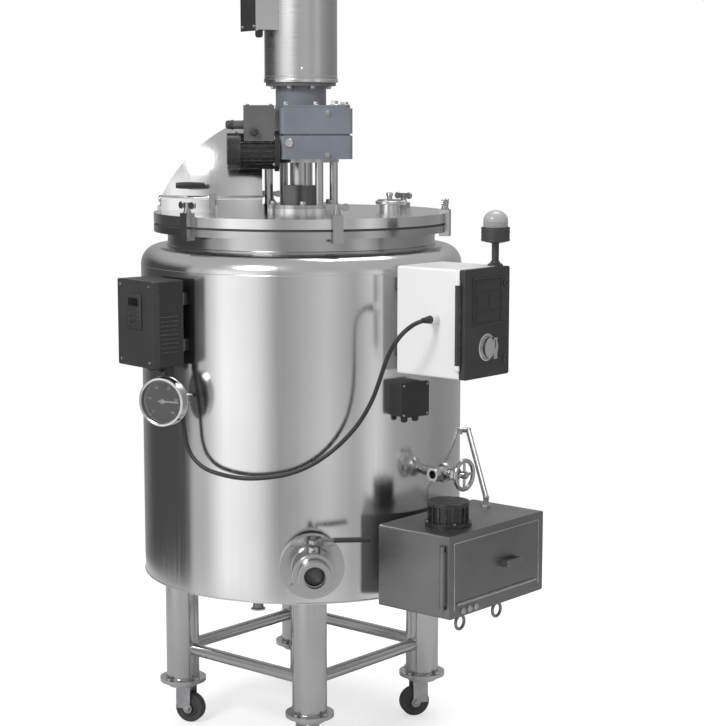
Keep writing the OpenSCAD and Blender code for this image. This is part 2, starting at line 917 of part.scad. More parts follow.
module fan_wheel(d, h, n, bore) {
    difference() {
        union() {
            cylinder(d = d, h = fan_disc_t);
            cylinder(d = bore + fan_hub_wall * 2, h = h);
            for (i = [0:n - 1]) rotate([0, 0, i * 360 / n])
                translate([bore, -fan_blade_t / 2, 0]) cube([d / 2 - bore - free_gap, fan_blade_t, h]);
        }
        translate([0, 0, -over]) cylinder(d = bore, h = h + over * 2);
    }
}

module main_motor_fan() {
    color("dimgrey") translate([0, 0, motor_z + motor_flange_h + motor_body_h + fan_room])
        fan_wheel(fan_d, fan_h, fan_blade_n, inner_shaft_d + run_gap * 2);
}

side_end = gear_left + side_flange_t + side_body_l;

module side_motor() {
    color([0.17, 0.17, 0.17]) translate([-side_end, side_y, side_z]) outwards() difference() {
        union() {
            cylinder(d = side_d - side_fin_h * 2, h = side_body_l);
            for (i = [0:side_fin_n - 1]) rotate([0, 0, i * 360 / side_fin_n])
                translate([0, -side_fin_t / 2, 0]) cube([side_d / 2, side_fin_t, side_body_l]);
            translate([0, 0, side_body_l]) cylinder(d = side_flange_d, h = side_flange_t);
        }
        translate([0, 0, -over])
            cylinder(d = side_shaft_d + rotor_gap * 2, h = side_body_l + side_flange_t + over * 2);
    }
}

module side_motor_cowl() {
    color("black") translate([-side_end - cowl_l, side_y, side_z]) outwards() difference() {
        cylinder(d = side_d + cowl_t, h = cowl_l);
        translate([0, 0, cowl_t]) cylinder(d = side_d - cowl_t, h = cowl_l);
        for (r = [0, 1, 2], i = [0:max(r * cowl_ring_n - 1, 0)])
            rotate([0, 0, i * 360 / max(r * cowl_ring_n, 1)]) translate([r * cowl_hole_d * 2, 0, -over])
                cylinder(d = cowl_hole_d, h = cowl_t + over * 2, $fn = 24);
    }
}

module side_motor_fan() {
    color("dimgrey") translate([-side_end - cowl_l + cowl_fan_gap, side_y, side_z]) outwards() {
        fan_wheel(side_fan_d, side_fan_h, fan_blade_n, side_shaft_d - fan_blade_t);
        cylinder(d = side_shaft_d, h = cowl_l + side_body_l + side_flange_t + spigot_h - cowl_fan_gap);
    }
}

module side_terminal_box() {
    top = side_z + side_d / 2;
    x0 = -gear_left - free_gap - side_flange_t;
    color([0.35, 0.35, 0.35]) {
        difference() {
            translate([x0 - side_box_w, side_y - side_box_d / 2, side_z + side_d / 4])
                cube([side_box_w, side_box_d, side_d / 4 + side_box_h]);
            translate([-side_end, side_y, side_z]) outwards()
                cylinder(d = side_d + seat_gap * 2, h = side_end);
        }
        translate([x0 - side_box_w - side_box_gland_l, side_y, top + side_box_gland_d]) outwards()
            cylinder(d = side_box_gland_d, h = side_box_gland_l);
    }
}

// Agitator
module anchor_frame() {
    color("silver") difference() {
        union() {
            translate([0, 0, anchor_top]) cylinder(d = outer_shaft_d, h = gear_z + gear_low_h - anchor_top);
            translate([0, 0, anchor_top - hub_h]) cylinder(d = hub_d, h = hub_top_h);
            translate([-anchor_r, -anchor_bar / 2, anchor_top - hub_h])
                cube([anchor_r * 2, anchor_bar, anchor_w]);
            intersection() {
                union() {
                    for (s = [-1, 1]) translate([s * (anchor_r - anchor_w / 2), 0, 0])
                        translate([-anchor_w / 2, -anchor_bar / 2, knee_z])
                            cube([anchor_w, anchor_bar, anchor_top - knee_z]);
                    anchor_dish();
                }
                cylinder(r = anchor_r, h = lid_top);
            }
            translate([0, 0, vessel_bot + bush_boss_h + free_gap]) cylinder(d = hub_d, h = hub_h);
        }
        translate([0, 0, vessel_bot]) cylinder(d = inner_shaft_d + run_gap * 2, h = gear_top);
    }
}

module anchor_dish() {
    intersection() {
        difference() {
            translate([0, 0, dish_z]) sphere(r = anchor_dish_out, $fn = 96);
            translate([0, 0, dish_z]) sphere(r = anchor_dish_in, $fn = 96);
        }
        translate([-anchor_r, -anchor_bar / 2, vessel_bot])
            cube([anchor_r * 2, anchor_bar, knee_z - vessel_bot + anchor_w]);
    }
}

module anchor_scrapers() {
    color("white") for (i = [0:scraper_n - 1], s = [0, 180]) facing(s)
        intersection() {
            translate([anchor_r - anchor_w, anchor_bar / 2, scraper_start + i * scraper_every])
                cube([anchor_w + anchor_gap, scraper_t, scraper_h]);
            cylinder(r = vessel_r - scraper_gap, h = lid_top);
        }
}

module mixer_shaft() {
    top = motor_z + motor_flange_h + motor_body_h + fan_room + fan_h;
    color("silver") {
        translate([0, 0, impeller_zs[0] - impeller_hub_h / 2])
            cylinder(d = inner_shaft_d, h = top - impeller_zs[0] + impeller_hub_h / 2);
        for (z = impeller_zs) translate([0, 0, z]) {
            translate([0, 0, -impeller_hub_h / 2]) cylinder(d = impeller_hub_d, h = impeller_hub_h);
            for (i = [0:impeller_n - 1]) rotate([0, 0, i * 360 / impeller_n])
                rotate([impeller_tilt, 0, 0]) translate([0, -impeller_blade_t / 2, -impeller_blade_w / 2])
                    cube([impeller_d / 2, impeller_blade_t, impeller_blade_w]);
        }
    }
}

module bottom_bush() {
    color("grey") {
        intersection() {
            translate([0, 0, vessel_bot - over]) cylinder(d = bush_boss_d, h = bush_boss_h + over);
            translate([0, 0, dish_z]) sphere(r = dish_r - seat_gap, $fn = 96);
        }
        translate([0, 0, vessel_bot + bush_boss_h]) cylinder(d = inner_shaft_d, h = bush_pin_h);
    }
}

// Hinge with an upright pin: the fixed half holds the pin, the moving half turns on it
module hinge_fixed(x, y, z0, z1, inward) {
    for (z = [z0, z1 - eye_d]) translate([x, y, z]) {
        cylinder(d = eye_d, h = eye_d);
        translate([-inward, 0, 0]) cube([inward, eye_off, eye_d]);
    }
    translate([x, y, z0]) cylinder(d = pin_d, h = z1 - z0);
}

module hinge_moving(x, y, z0, z1, leaf) {
    h = z1 - z0 - (eye_d + eye_gap) * 2;
    difference() {
        union() {
            translate([x, y, z0 + eye_d + eye_gap]) cylinder(d = eye_d, h = h);
            translate([x, y, z0 + eye_d + eye_gap]) cube([leaf, eye_off, h]);
        }
        translate([x, y, z0]) cylinder(d = pin_d + run_gap * 2, h = z1 - z0);
    }
}

cabinet_y0 = cabinet_shift - cabinet_w / 2;
service_y0 = service_shift - service_w / 2;
cabinet_pin_x = cabinet_front + door_gap / 2;
service_pin_x = service_front + door_gap / 2;
cabinet_pin_y = cabinet_y0 - eye_off;
service_pin_y = service_y0 - eye_off;

module open_box(x, y0, z0, depth, w, h, t, corner) {
    difference() {
        translate([x, y0, z0 + h]) outwards() rounded_slab(h, w, depth, corner);
        translate([x + t, y0 + t, z0 + t]) cube([depth, w - t * 2, h - t * 2]);
    }
}

module cabinet_body() {
    color("whitesmoke") facing(right_angle) {
        difference() {
            open_box(right_back, cabinet_y0, cabinet_z, cabinet_depth, cabinet_w, cabinet_h,
                cabinet_t, cabinet_corner);
            translate([gland_x, cabinet_y0 - over, gland_z]) rotate([-90, 0, 0])
                cylinder(d = cable_d, h = over * 3);
        }
        hinge_fixed(cabinet_pin_x, cabinet_pin_y, cabinet_z + eye_margin, cabinet_top - eye_margin, eye_d);
        translate([gland_x, cabinet_y0, gland_z]) rotate([90, 0, 0]) difference() {
            cylinder(d = gland_d, h = gland_l);
            translate([0, 0, -over]) cylinder(d = cable_d, h = gland_l / 2 + over);
        }
    }
}

module cabinet_door() {
    x = cabinet_front + door_gap;
    color([0.2, 0.2, 0.2]) facing(right_angle) {
        difference() {
            translate([x, cabinet_y0, cabinet_top]) outwards()
                rounded_slab(cabinet_h, cabinet_w, door_t, cabinet_corner);
            translate([x + door_t - screen_sink, cabinet_shift - screen_w / 2 - seat_gap,
                cabinet_top - screen_drop + screen_h / 2 + seat_gap]) outwards()
                rounded_slab(screen_h + seat_gap * 2, screen_w + seat_gap * 2, screen_sink + over,
                    screen_corner);
            translate([x - over, cabinet_shift, cabinet_z + knob_rise]) outwards()
                cylinder(d = knob_spindle_d + run_gap * 2, h = door_t + over * 2);
        }
        hinge_moving(cabinet_pin_x, cabinet_pin_y, cabinet_z + eye_margin, cabinet_top - eye_margin,
            door_t / 2);
    }
}

module cabinet_screen() {
    x = cabinet_front + door_gap + door_t - screen_sink;
    z = cabinet_top - screen_drop + screen_h / 2;
    color("black") facing(right_angle) translate([x, cabinet_shift - screen_w / 2, z])
        outwards() rounded_slab(screen_h, screen_w, screen_t, screen_corner);
}

module switch_knob() {
    x = cabinet_front + door_gap;
    color("gainsboro") facing(right_angle) translate([x, cabinet_shift, cabinet_z + knob_rise]) outwards() {
        cylinder(d = knob_spindle_d, h = door_t + knob_h);
        translate([0, 0, door_t + seat_gap]) cylinder(d = knob_d, h = knob_h);
        translate([-knob_d / 2 + free_gap, -knob_grip_w / 2, door_t + knob_h])
            cube([knob_d - free_gap * 2, knob_grip_w, knob_grip_h]);
    }
}

// Rail between the cladding and the back of a box
module rail(back, y, z) {
    difference() {
        translate([back - rail_in, y - rail_w / 2, z - rail_h / 2]) cube([rail_in, rail_w, rail_h]);
        cylinder(r = shell_r + seat_gap, h = lid_top, $fn = 256);
    }
}

module box_brackets() {
    color("silver") {
        facing(right_angle) {
            for (z = [cabinet_z + rail_in, cabinet_top - rail_in]) rail(right_back, cabinet_shift, z);
            for (z = [service_z + rail_in, service_top - rail_in]) rail(right_back, service_shift, z);
        }
        facing(left_angle)
            for (z = [inverter_z + rail_in, inverter_z + inverter_h - rail_in]) rail(left_back, 0, z);
    }
}

module lamp_place() {
    facing(right_angle)
        translate([cabinet_front - lamp_x_in, cabinet_y0 + cabinet_w - lamp_y_in, cabinet_top]) children();
}

module signal_lamp() {
    color([0.3, 0.3, 0.3]) lamp_place() {
        cylinder(d = lamp_stem_d, h = lamp_stem_h);
        translate([0, 0, lamp_stem_h]) cylinder(d = lamp_base_d, h = lamp_base_h);
    }
}

module lamp_dome() {
    color("lightgrey") lamp_place() translate([0, 0, lamp_stem_h + lamp_base_h]) difference() {
        union() {
            cylinder(d = lamp_dome_d, h = lamp_dome_h - lamp_dome_d / 2);
            translate([0, 0, lamp_dome_h - lamp_dome_d / 2]) intersection() {
                sphere(d = lamp_dome_d);
                cylinder(d = lamp_dome_d, h = lamp_dome_d);
            }
        }
        translate([0, 0, lamp_dome_h - lamp_dome_d / 2]) sphere(d = lamp_dome_d - lamp_wall * 2);
    }
}

module service_box() {
    color("darkgrey") facing(right_angle) {
        open_box(right_back, service_y0, service_z, service_depth, service_w, service_h, service_t,
            cabinet_corner);
        hinge_fixed(service_pin_x, service_pin_y, service_z + eye_margin, service_top - eye_margin, eye_d);
        for (y = hook_ys) translate([service_front - hook_in, y, service_z - hook_drop]) {
            cylinder(d = hook_post_d, h = hook_drop + service_t / 2);
            translate([0, 0, -hook_r]) rotate([0, 90, 0]) rotate_extrude()
                translate([hook_r, 0]) circle(d = hook_d, $fn = 24);
        }
    }
}

module service_door() {
    x = service_front + door_gap;
    color("grey") facing(right_angle) {
        translate([x, service_y0, service_top]) outwards()
            rounded_slab(service_h, service_w, door_t, cabinet_corner);
        hinge_moving(service_pin_x, service_pin_y, service_z + eye_margin, service_top - eye_margin,
            door_t / 2);
        translate([x + door_t, pull_y, service_z + service_h / 2]) {
            translate([pull_out - pull_t, -pull_w / 2, -pull_h / 2]) cube([pull_t, pull_w, pull_h]);
            for (s = [-1, 1]) translate([0, s * (pull_w - pull_post) / 2 - pull_post / 2, -pull_h / 2])
                cube([pull_out - pull_t, pull_post, pull_h]);
        }
    }
}

module pump_motor() {
    color([0.15, 0.15, 0.15]) facing(right_angle) translate([service_front - pump_x_in, pump_y, service_top]) {
        cylinder(d = pump_foot_d, h = pump_foot_h);
        translate([0, 0, pump_foot_h]) cylinder(d = pump_d - pump_fin_out * 2, h = pump_h);
        for (i = [0:pump_fin_n - 1]) rotate([0, 0, i * 360 / pump_fin_n])
            translate([pump_d / 2 - pump_fin_out - over, -pump_fin_t / 2, pump_foot_h - over])
                cube([pump_fin_out + over - free_gap, pump_fin_t, pump_h + over * 2]);
        translate([0, 0, pump_foot_h + pump_h]) cylinder(d = pump_d, h = pump_cap_h);
    }
}

conduit_b = [(shell_r + conduit_out) * cos(conduit_angle), (shell_r + conduit_out) * sin(conduit_angle),
    conduit_start_z];
conduit_d0 = [conduit_x * cos(right_angle) - conduit_y * sin(right_angle),
    conduit_x * sin(right_angle) + conduit_y * cos(right_angle), service_top];
conduit_c = conduit_d0 + [0, 0, conduit_rise];

module conduit() {
    r = conduit_d / 2;
    color("silver") {
        difference() {
            facing(conduit_angle) translate([shell_r - over, 0, conduit_start_z]) outwards()
                cylinder(r = r, h = conduit_out + over);
            cylinder(r = shell_r + seat_gap, h = lid_top);
        }
        rod(conduit_b, conduit_c, r);
        translate(conduit_b) sphere(r = r + conduit_bead);
        translate(conduit_c) sphere(r = r + conduit_bead);
        translate(conduit_d0) cylinder(r = r, h = conduit_rise);
        translate(conduit_d0) cylinder(d = conduit_nut_d, h = conduit_nut_h);
    }
}

module junction_box() {
    color("black") facing(junction_angle) {
        difference() {
            translate([shell_r - over * 4, -junction_w / 2, junction_z + junction_h]) outwards()
                rounded_slab(junction_h, junction_w, junction_depth + over * 4, junction_corner);
            cylinder(r = shell_r + seat_gap, h = lid_top);
        }
        translate([shell_r + junction_depth, -junction_w / 2 - over, junction_z + junction_h + over]) outwards()
            rounded_slab(junction_h + over * 2, junction_w + over * 2, junction_lid_t, junction_corner);
    }
}

// Box and dial on the left
module inverter_body() {
    color([0.16, 0.16, 0.16]) facing(left_angle) {
        difference() {
            open_box(left_back, -inverter_w / 2, inverter_z, inverter_depth, inverter_w, inverter_h,
                inverter_t, inverter_corner);
            translate([gland2_x, gland2_y, inverter_z - over]) cylinder(d = cable_d, h = over * 3);
        }
        translate([gland2_x, gland2_y, inverter_z - gland_l]) difference() {
            cylinder(d = gland_d, h = gland_l);
            translate([0, 0, gland_l / 2]) cylinder(d = cable_d, h = gland_l);
        }
    }
}

module inverter_cover() {
    color([0.2, 0.2, 0.2]) facing(left_angle)
        translate([inverter_front, -inverter_w / 2, inverter_z + inverter_h]) outwards()
            rounded_slab(inverter_h, inverter_w, inverter_cover_t, inverter_corner);
}

module dial_place() {
    facing(dial_angle) translate([shell_r + dial_out, 0, dial_z])
        facing(dial_face_angle - dial_angle) outwards() children();
}

module thermometer_case() {
    color("silver") {
        facing(dial_angle) difference() {
            union() {
                translate([shell_r - over, 0, dial_z]) outwards()
                    cylinder(d = dial_socket_d, h = dial_socket_h + over);
                translate([shell_r - over, 0, dial_z]) outwards()
                    cylinder(d = dial_stem_d, h = dial_out + over);
            }
            cylinder(r = shell_r + seat_gap, h = lid_top);
        }
        dial_place() difference() {
            cylinder(d = dial_d, h = dial_t);
            translate([0, 0, dial_t - dial_depth]) cylinder(d = dial_d - dial_rim * 2, h = dial_depth + over);
            translate([0, 0, dial_t - dial_depth - needle_off - over])
                cylinder(d = needle_pin_d + run_gap * 2, h = dial_depth + over * 2);
        }
    }
}

module thermometer_pointer() {
    color("black") dial_place() {
        translate([0, 0, dial_t - dial_depth - needle_off]) cylinder(d = needle_pin_d, h = needle_off * 2);
        translate([0, 0, dial_t - dial_depth + needle_off]) cylinder(d = needle_hub_d, h = needle_off);
        translate([-needle_w / 2, -needle_tail, dial_t - dial_depth + needle_off])
            cube([needle_w, needle_l + needle_tail, needle_t]);
    }
}

// Frame and casters
module leg_at(a) {
    facing(a) translate([leg_circle_r, 0, 0]) children();
}

module leg_frame() {
    span = leg_circle_r * sqrt(2);
    bore = leg_d - leg_wall * 2;
    color("lightgrey") {
        difference() {
            union() {
                for (a = leg_angles) {
                    leg_at(a) translate([0, 0, leg_foot_z]) cylinder(d = leg_d, h = ground_gap - leg_foot_z);
                    leg_at(a) translate([0, 0, ground_gap - leg_pad_h]) cylinder(d = leg_pad_d, h = leg_pad_h);
                    leg_at(a) translate([0, 0, leg_foot_z]) cylinder(d = leg_foot_d, h = leg_foot_h);
                    rod([leg_circle_r * cos(a), leg_circle_r * sin(a), brace_z],
                        [leg_circle_r * cos(a + 90), leg_circle_r * sin(a + 90), brace_z], brace_d / 2);
                }
            }
            for (a = leg_angles) leg_at(a) translate([0, 0, leg_foot_z + leg_foot_h])
                cylinder(d = bore, h = ground_gap - leg_foot_z - leg_foot_h - leg_pad_h);
        }
        for (a = leg_angles) leg_at(a) {
            translate([0, 0, fork_top_z + run_gap]) cylinder(d = stub_d, h = leg_foot_z - fork_top_z - run_gap);
            translate([0, 0, fork_top_z - fork_plate_t - axle_head_h])
                cylinder(d = kingpin_d, h = leg_foot_z - fork_top_z + fork_plate_t + axle_head_h);
            translate([0, 0, fork_top_z - fork_plate_t - axle_head_h - run_gap])
                cylinder(d = kingpin_d + axle_head_h * 2, h = axle_head_h);
            for (i = [0:3]) rotate([0, 0, i * 90 + 45]) translate([bolt_circle_r, 0, leg_foot_z + leg_foot_h])
                cylinder(d = bolt_head_d, h = bolt_head_h, $fn = 6);
        }
    }
}

module caster_place(i) {
    leg_at(leg_angles[i]) rotate([0, 0, caster_yaw[i]]) children();
}

module fork(i) {
    r = wheel_d / 2;
    color("grey") caster_place(i) difference() {
        union() {
            translate([0, 0, fork_top_z - fork_plate_t]) cylinder(d = stub_d - axle_head_h, h = fork_plate_t);
            for (s = [-1, 1]) translate([0, s * (fork_w - fork_t) / 2, 0]) {
                translate([-fork_l / 2, -fork_t / 2, r])
                    cube([fork_l / 2 + fork_trail / 2, fork_t, fork_top_z - r - fork_plate_t / 2]);
                translate([-fork_trail, fork_t / 2, r]) rotate([90, 0, 0])
                    cylinder(d = fork_l / 2 - axle_head_h, h = fork_t);
            }
            translate([-fork_trail, fork_w / 2 + axle_head_h, r]) rotate([90, 0, 0])
                cylinder(d = axle_d, h = fork_w + axle_head_h * 2);
            for (s = [-1, 1]) translate([-fork_trail, s * (fork_w / 2 + axle_head_h / 2) + axle_head_h / 2, r])
                rotate([90, 0, 0]) cylinder(d = axle_head_d, h = axle_head_h);
        }
        translate([0, 0, r]) cylinder(d = kingpin_d + run_gap * 2, h = fork_top_z);
    }
}

module wheel(i) {
    r = wheel_d / 2;
    wheel_hub_w = fork_w - fork_t * 2 - free_gap;
    color([0.25, 0.25, 0.25]) caster_place(i) translate([-fork_trail, 0, r]) rotate([90, 0, 0]) difference() {
        union() {
            translate([0, 0, -wheel_w / 2 + tyre_t / 2]) cylinder(r = r, h = wheel_w - tyre_t);
            for (s = [-1, 1]) translate([0, 0, s * (wheel_w / 2 - tyre_t / 2)])
                rotate_extrude() translate([r - tyre_t / 2, 0]) circle(d = tyre_t, $fn = 32);
            translate([0, 0, -wheel_w / 2]) cylinder(r = r - tyre_t / 2, h = wheel_w);
            translate([0, 0, -wheel_hub_w / 2]) cylinder(d = wheel_hub_d, h = wheel_hub_w);
        }
        translate([0, 0, -fork_w]) cylinder(d = axle_d + run_gap * 2, h = fork_w * 2);
    }
}

module caster_fork_1() { fork(0); }
module caster_fork_2() { fork(1); }
module caster_fork_3() { fork(2); }
module caster_fork_4() { fork(3); }
module caster_wheel_1() { wheel(0); }
module caster_wheel_2() { wheel(1); }
module caster_wheel_3() { wheel(2); }
module caster_wheel_4() { wheel(3); }

// Outlet valve, looking out along -Y
module valve_place() {
    translate([0, -valve_y, outlet_z]) rotate([90, 0, 0]) children();
}

module outlet_valve_body() {
    color("silver") valve_place() difference() {
        union() {
            cylinder(d = outlet_flange_d, h = outlet_flange_t);
            translate([0, 0, outlet_flange_t]) cylinder(d = valve_d, h = valve_l);
            translate([0, 0, outlet_flange_t + valve_l]) cylinder(d = valve_end_d, h = valve_end_l);
            translate([0, 0, outlet_flange_t + valve_l / 2]) rotate([-90, 0, 0])
                cylinder(d = bonnet_d, h = valve_d / 2 + bonnet_h);
            for (i = [0:outlet_bolt_n - 1]) rotate([0, 0, i * 360 / outlet_bolt_n + 45])
                translate([outlet_bolt_r, 0, outlet_flange_t])
                    cylinder(d = bolt_head_d, h = bolt_head_h, $fn = 6);
        }
        translate([0, 0, -over]) cylinder(r = outlet_r, h = outlet_flange_t + valve_l + valve_end_l);
        translate([0, 0, outlet_flange_t + valve_l + valve_end_l - socket_l])
            cylinder(d = socket_d, h = socket_l + over);
        translate([0, 0, outlet_flange_t + valve_l / 2]) sphere(d = ball_d + seat_gap * 2);
        translate([0, 0, outlet_flange_t + valve_l / 2]) rotate([-90, 0, 0])
            cylinder(d = stem_d + run_gap * 2, h = valve_d / 2 + bonnet_h + over);
    }
}

module outlet_valve_handle() {
    top = valve_d / 2 + bonnet_h;
    color([0.3, 0.3, 0.3]) valve_place() translate([0, 0, outlet_flange_t + valve_l / 2]) {
        difference() {
            union() {
                outwards() sphere(d = ball_d);
                rotate([-90, 0, 0]) cylinder(d = stem_d, h = top + stem_top);
            }
            translate([-ball_d, 0, 0]) outwards() cylinder(r = outlet_r, h = ball_d * 2);
        }
        translate([-lever_w / 2, top + free_gap, -lever_w / 2])
            cube([lever_w / 2 + lever_step + lever_t, lever_t, lever_w]);
        translate([lever_step, top + free_gap, -lever_w / 2]) cube([lever_t, lever_up, lever_w]);
        translate([lever_step, top + free_gap + lever_up - lever_t, -lever_w / 2])
            cube([lever_l, lever_t, lever_w]);
    }
}

// Jacket inlet valve, looking out to the right
module jacket_valve_body() {
    color("silver") facing(right_angle) translate([0, 0, jv_z]) {
        difference() {
            union() {
                translate([jacket_r, 0, 0]) outwards() cylinder(d = jv_pipe_d, h = shell_r + jv_out - jacket_r);
                translate([shell_r + jv_out, 0, 0]) sphere(d = jv_ball_d);
                translate([shell_r + jv_out, 0, 0]) rotate([90, 0, 0]) cylinder(d = jv_port_d, h = jv_port_l);
                translate([shell_r + jv_out, 0, 0]) outwards() cylinder(d = jv_bonnet_d, h = jv_bonnet_l);
            }
            translate([jacket_r - over, 0, 0]) outwards()
                cylinder(d = jv_bore_d, h = shell_r + jv_out - jacket_r + over);
            translate([shell_r + jv_out, 0, 0]) sphere(d = jv_room_d);
            translate([shell_r + jv_out, 0, 0]) rotate([90, 0, 0])
                cylinder(d = jv_bore_d, h = jv_port_l + over);
            translate([shell_r + jv_out, 0, 0]) outwards()
                cylinder(d = jv_stem_d + run_gap * 2, h = jv_bonnet_l + over);
        }
    }
}

module jacket_handwheel() {
    tip = shell_r + jv_out + jv_bonnet_l;
    color([0.8, 0.8, 0.8]) facing(right_angle) translate([tip, 0, jv_z]) outwards() {
        translate([0, 0, -jv_bonnet_l / 2]) cylinder(d = jv_stem_d, h = jv_bonnet_l / 2 + jv_stem_l);
        translate([0, 0, jv_stem_l - jv_hub_h]) cylinder(d = jv_hub_d, h = jv_hub_h);
        translate([0, 0, jv_stem_l - jv_hub_h / 2]) {
            rotate_extrude() translate([(jv_wheel_d - jv_rim_d) / 2, 0]) circle(d = jv_rim_d, $fn = 32);
            for (i = [0:3]) rotate([0, 0, i * 90]) outwards()
                cylinder(d = jv_spoke_t, h = (jv_wheel_d - jv_rim_d) / 2);
        }
    }
}

// Cable: rings swept along a smooth curve through the route's points
function route_at(i) = cable_route[max(0, min(len(cable_route) - 1, i))];
function smooth_point(i, t) = let (a = route_at(i - 1), b = route_at(i), c = route_at(i + 1), d = route_at(i + 2))
    0.5 * (2 * b + (c - a) * t + (2 * a - 5 * b + 4 * c - d) * t * t + (3 * b - a - 3 * c + d) * t * t * t);
cable_points = [for (i = [0:len(cable_route) - 2], k = [0:cable_steps - 1]) smooth_point(i, k / cable_steps),
    cable_route[len(cable_route) - 1]];
function step_at(i) = cable_points[min(len(cable_points) - 1, i + 1)] - cable_points[max(0, i - 1)];
function along(i) = step_at(i) / norm(step_at(i));
function side_of(v) = let (s = cross(v, cable_lean)) s / norm(s);
function cable_ring(i) = let (v = along(i), s = side_of(v), u = cross(v, s))
    [for (a = [0:360 / cable_sides:359]) cable_points[i] + (s * cos(a) + u * sin(a)) * cable_d / 2];

module control_cable() {
    n = len(cable_points);
    m = cable_sides;
    points = [for (i = [0:n - 1]) each cable_ring(i)];
    walls = [for (i = [0:n - 2], k = [0:m - 1]) each let (a = i * m + k, b = i * m + (k + 1) % m)
        [[a, a + m, b], [b, a + m, b + m]]];
    ends = [[for (k = [0:m - 1]) k], [for (k = [0:m - 1]) n * m - 1 - k]];
    color("black") polyhedron(points = points, faces = concat(walls, ends));
}

inner_vessel();
jacket_shell();
insulation();
cladding();
vessel_flange();
lid_gasket();
fixed_lid();
lid_clamps();
hatch_gasket();
hatch_lid();
hatch_handle();
hatch_hinge();
hatch_latch();
port_cap();
lantern();
shaft_seal();
gearbox_housing();
gearbox_cover();
main_motor();
main_motor_cover();
main_terminal_box();
main_motor_fan();
side_motor();
side_motor_cowl();
side_motor_fan();
side_terminal_box();
anchor_frame();
anchor_scrapers();
mixer_shaft();
bottom_bush();
cabinet_body();
cabinet_door();
cabinet_screen();
switch_knob();
box_brackets();
signal_lamp();
lamp_dome();
inverter_body();
inverter_cover();
thermometer_case();
thermometer_pointer();
service_box();
service_door();
pump_motor();
conduit();
junction_box();
leg_frame();
caster_fork_1();
caster_fork_2();
caster_fork_3();
caster_fork_4();
caster_wheel_1();
caster_wheel_2();
caster_wheel_3();
caster_wheel_4();
outlet_valve_body();
outlet_valve_handle();
jacket_valve_body();
jacket_handwheel();
control_cable();
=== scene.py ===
# %% [markdown]
# A jacketed mixing tank, dressed for its picture.
# The tank's solids come ready made, in metres, and stay where they are. This lesson gives
# them their finishes and adds the small pieces that a sheet-metal shop and a fitter add.

# %% Load the tank
import json
import math
import bmesh
import bpy
from mathutils import Matrix, Vector


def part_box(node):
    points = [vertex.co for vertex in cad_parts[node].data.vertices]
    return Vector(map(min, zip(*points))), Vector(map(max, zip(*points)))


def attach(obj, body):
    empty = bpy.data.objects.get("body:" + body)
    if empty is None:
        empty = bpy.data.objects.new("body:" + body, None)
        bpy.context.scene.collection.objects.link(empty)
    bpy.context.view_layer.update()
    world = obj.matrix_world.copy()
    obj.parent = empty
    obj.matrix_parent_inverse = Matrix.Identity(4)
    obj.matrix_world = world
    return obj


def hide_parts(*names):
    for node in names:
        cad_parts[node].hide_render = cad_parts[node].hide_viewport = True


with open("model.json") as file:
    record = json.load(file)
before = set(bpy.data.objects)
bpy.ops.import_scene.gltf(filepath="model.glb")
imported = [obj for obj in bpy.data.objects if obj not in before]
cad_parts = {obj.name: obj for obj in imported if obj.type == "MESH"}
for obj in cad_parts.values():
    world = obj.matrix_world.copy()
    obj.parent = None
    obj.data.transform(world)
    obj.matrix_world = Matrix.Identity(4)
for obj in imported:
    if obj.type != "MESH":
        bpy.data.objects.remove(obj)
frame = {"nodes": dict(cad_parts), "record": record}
nodes = frame["nodes"]
scene = bpy.context.scene
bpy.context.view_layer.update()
print("solids loaded:", len(nodes))

# %% [markdown]
# The camera stands where the photographer stood: almost five metres in front of the outlet
# side, at eye height, a little to the left, and tilted down. A long lens keeps the legs
# upright. A vertical sensor fit keeps the framing the same at any width of the picture.

# %% Camera
CAMERA_PLACE = (-0.2464, -4.8638, 1.650)
TILT_DOWN = 7.8
TURN_RIGHT = 4.48
SENSOR_MM = 36
LENS_MM = 90.8

lens_data = bpy.data.cameras.new("photo_camera")
lens_data.sensor_fit = "VERTICAL"
lens_data.sensor_height = SENSOR_MM
lens_data.lens = LENS_MM
camera = bpy.data.objects.new("photo_camera", lens_data)
camera.location = CAMERA_PLACE
camera.rotation_euler = (math.radians(90 - TILT_DOWN), 0, -math.radians(TURN_RIGHT))
scene.collection.objects.link(camera)
scene.camera = camera
scene.view_settings.view_transform = "Standard"

# %% [markdown]
# Most fittings on the tank are turned, cut from hexagon bar or bent from plate. Four small
# helpers make such shapes with bmesh operators: a profile that is spun, a hexagon head, a
# block with soft edges, and a round bead. Each shape is made at the origin and then put in
# its place, so that its object itself never moves. All sizes are in metres.

# %% Helpers for new pieces
SAME_POINT = 1e-6
SHARP_ANGLE = math.radians(35)
HEAD_EDGE = 0.0006
UP, FRONT, RIGHT = (0, 0, 1), (0, -1, 0), (1, 0, 0)
DOWN, BACK, LEFT = (0, 0, -1), (0, 1, 0), (-1, 0, 0)
dressed = []


def add_piece(name, form, slot, body="tank", look=None):
    """Makes a bmesh a piece that rides on a body, and notes the finish that it gets later."""
    bmesh.ops.remove_doubles(form, verts=form.verts, dist=SAME_POINT)
    bmesh.ops.recalc_face_normals(form, faces=form.faces)
    mesh = bpy.data.meshes.new(name)
    form.to_mesh(mesh)
    form.free()
    mesh.shade_smooth()
    mesh.set_sharp_from_angle(angle=SHARP_ANGLE)
    piece = bpy.data.objects.new(name, mesh)
    scene.collection.objects.link(piece)
    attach(piece, body)
    dressed.append((piece, look or slot))
    return piece


def aimed(place, direction=UP):
    """A matrix that stands a shape at place, with its +Z along direction."""
    turn = Vector(direction).to_track_quat("Z", "Y").to_matrix().to_4x4()
    return Matrix.Translation(Vector(place)) @ turn


def put(form, part, matrix):
    """Moves a finished part with a matrix and joins it to a form."""
    bmesh.ops.transform(part, matrix=matrix, verts=part.verts)
    carrier = bpy.data.meshes.new("carrier")
    part.to_mesh(carrier)
    part.free()
    form.from_mesh(carrier)
    bpy.data.meshes.remove(carrier)


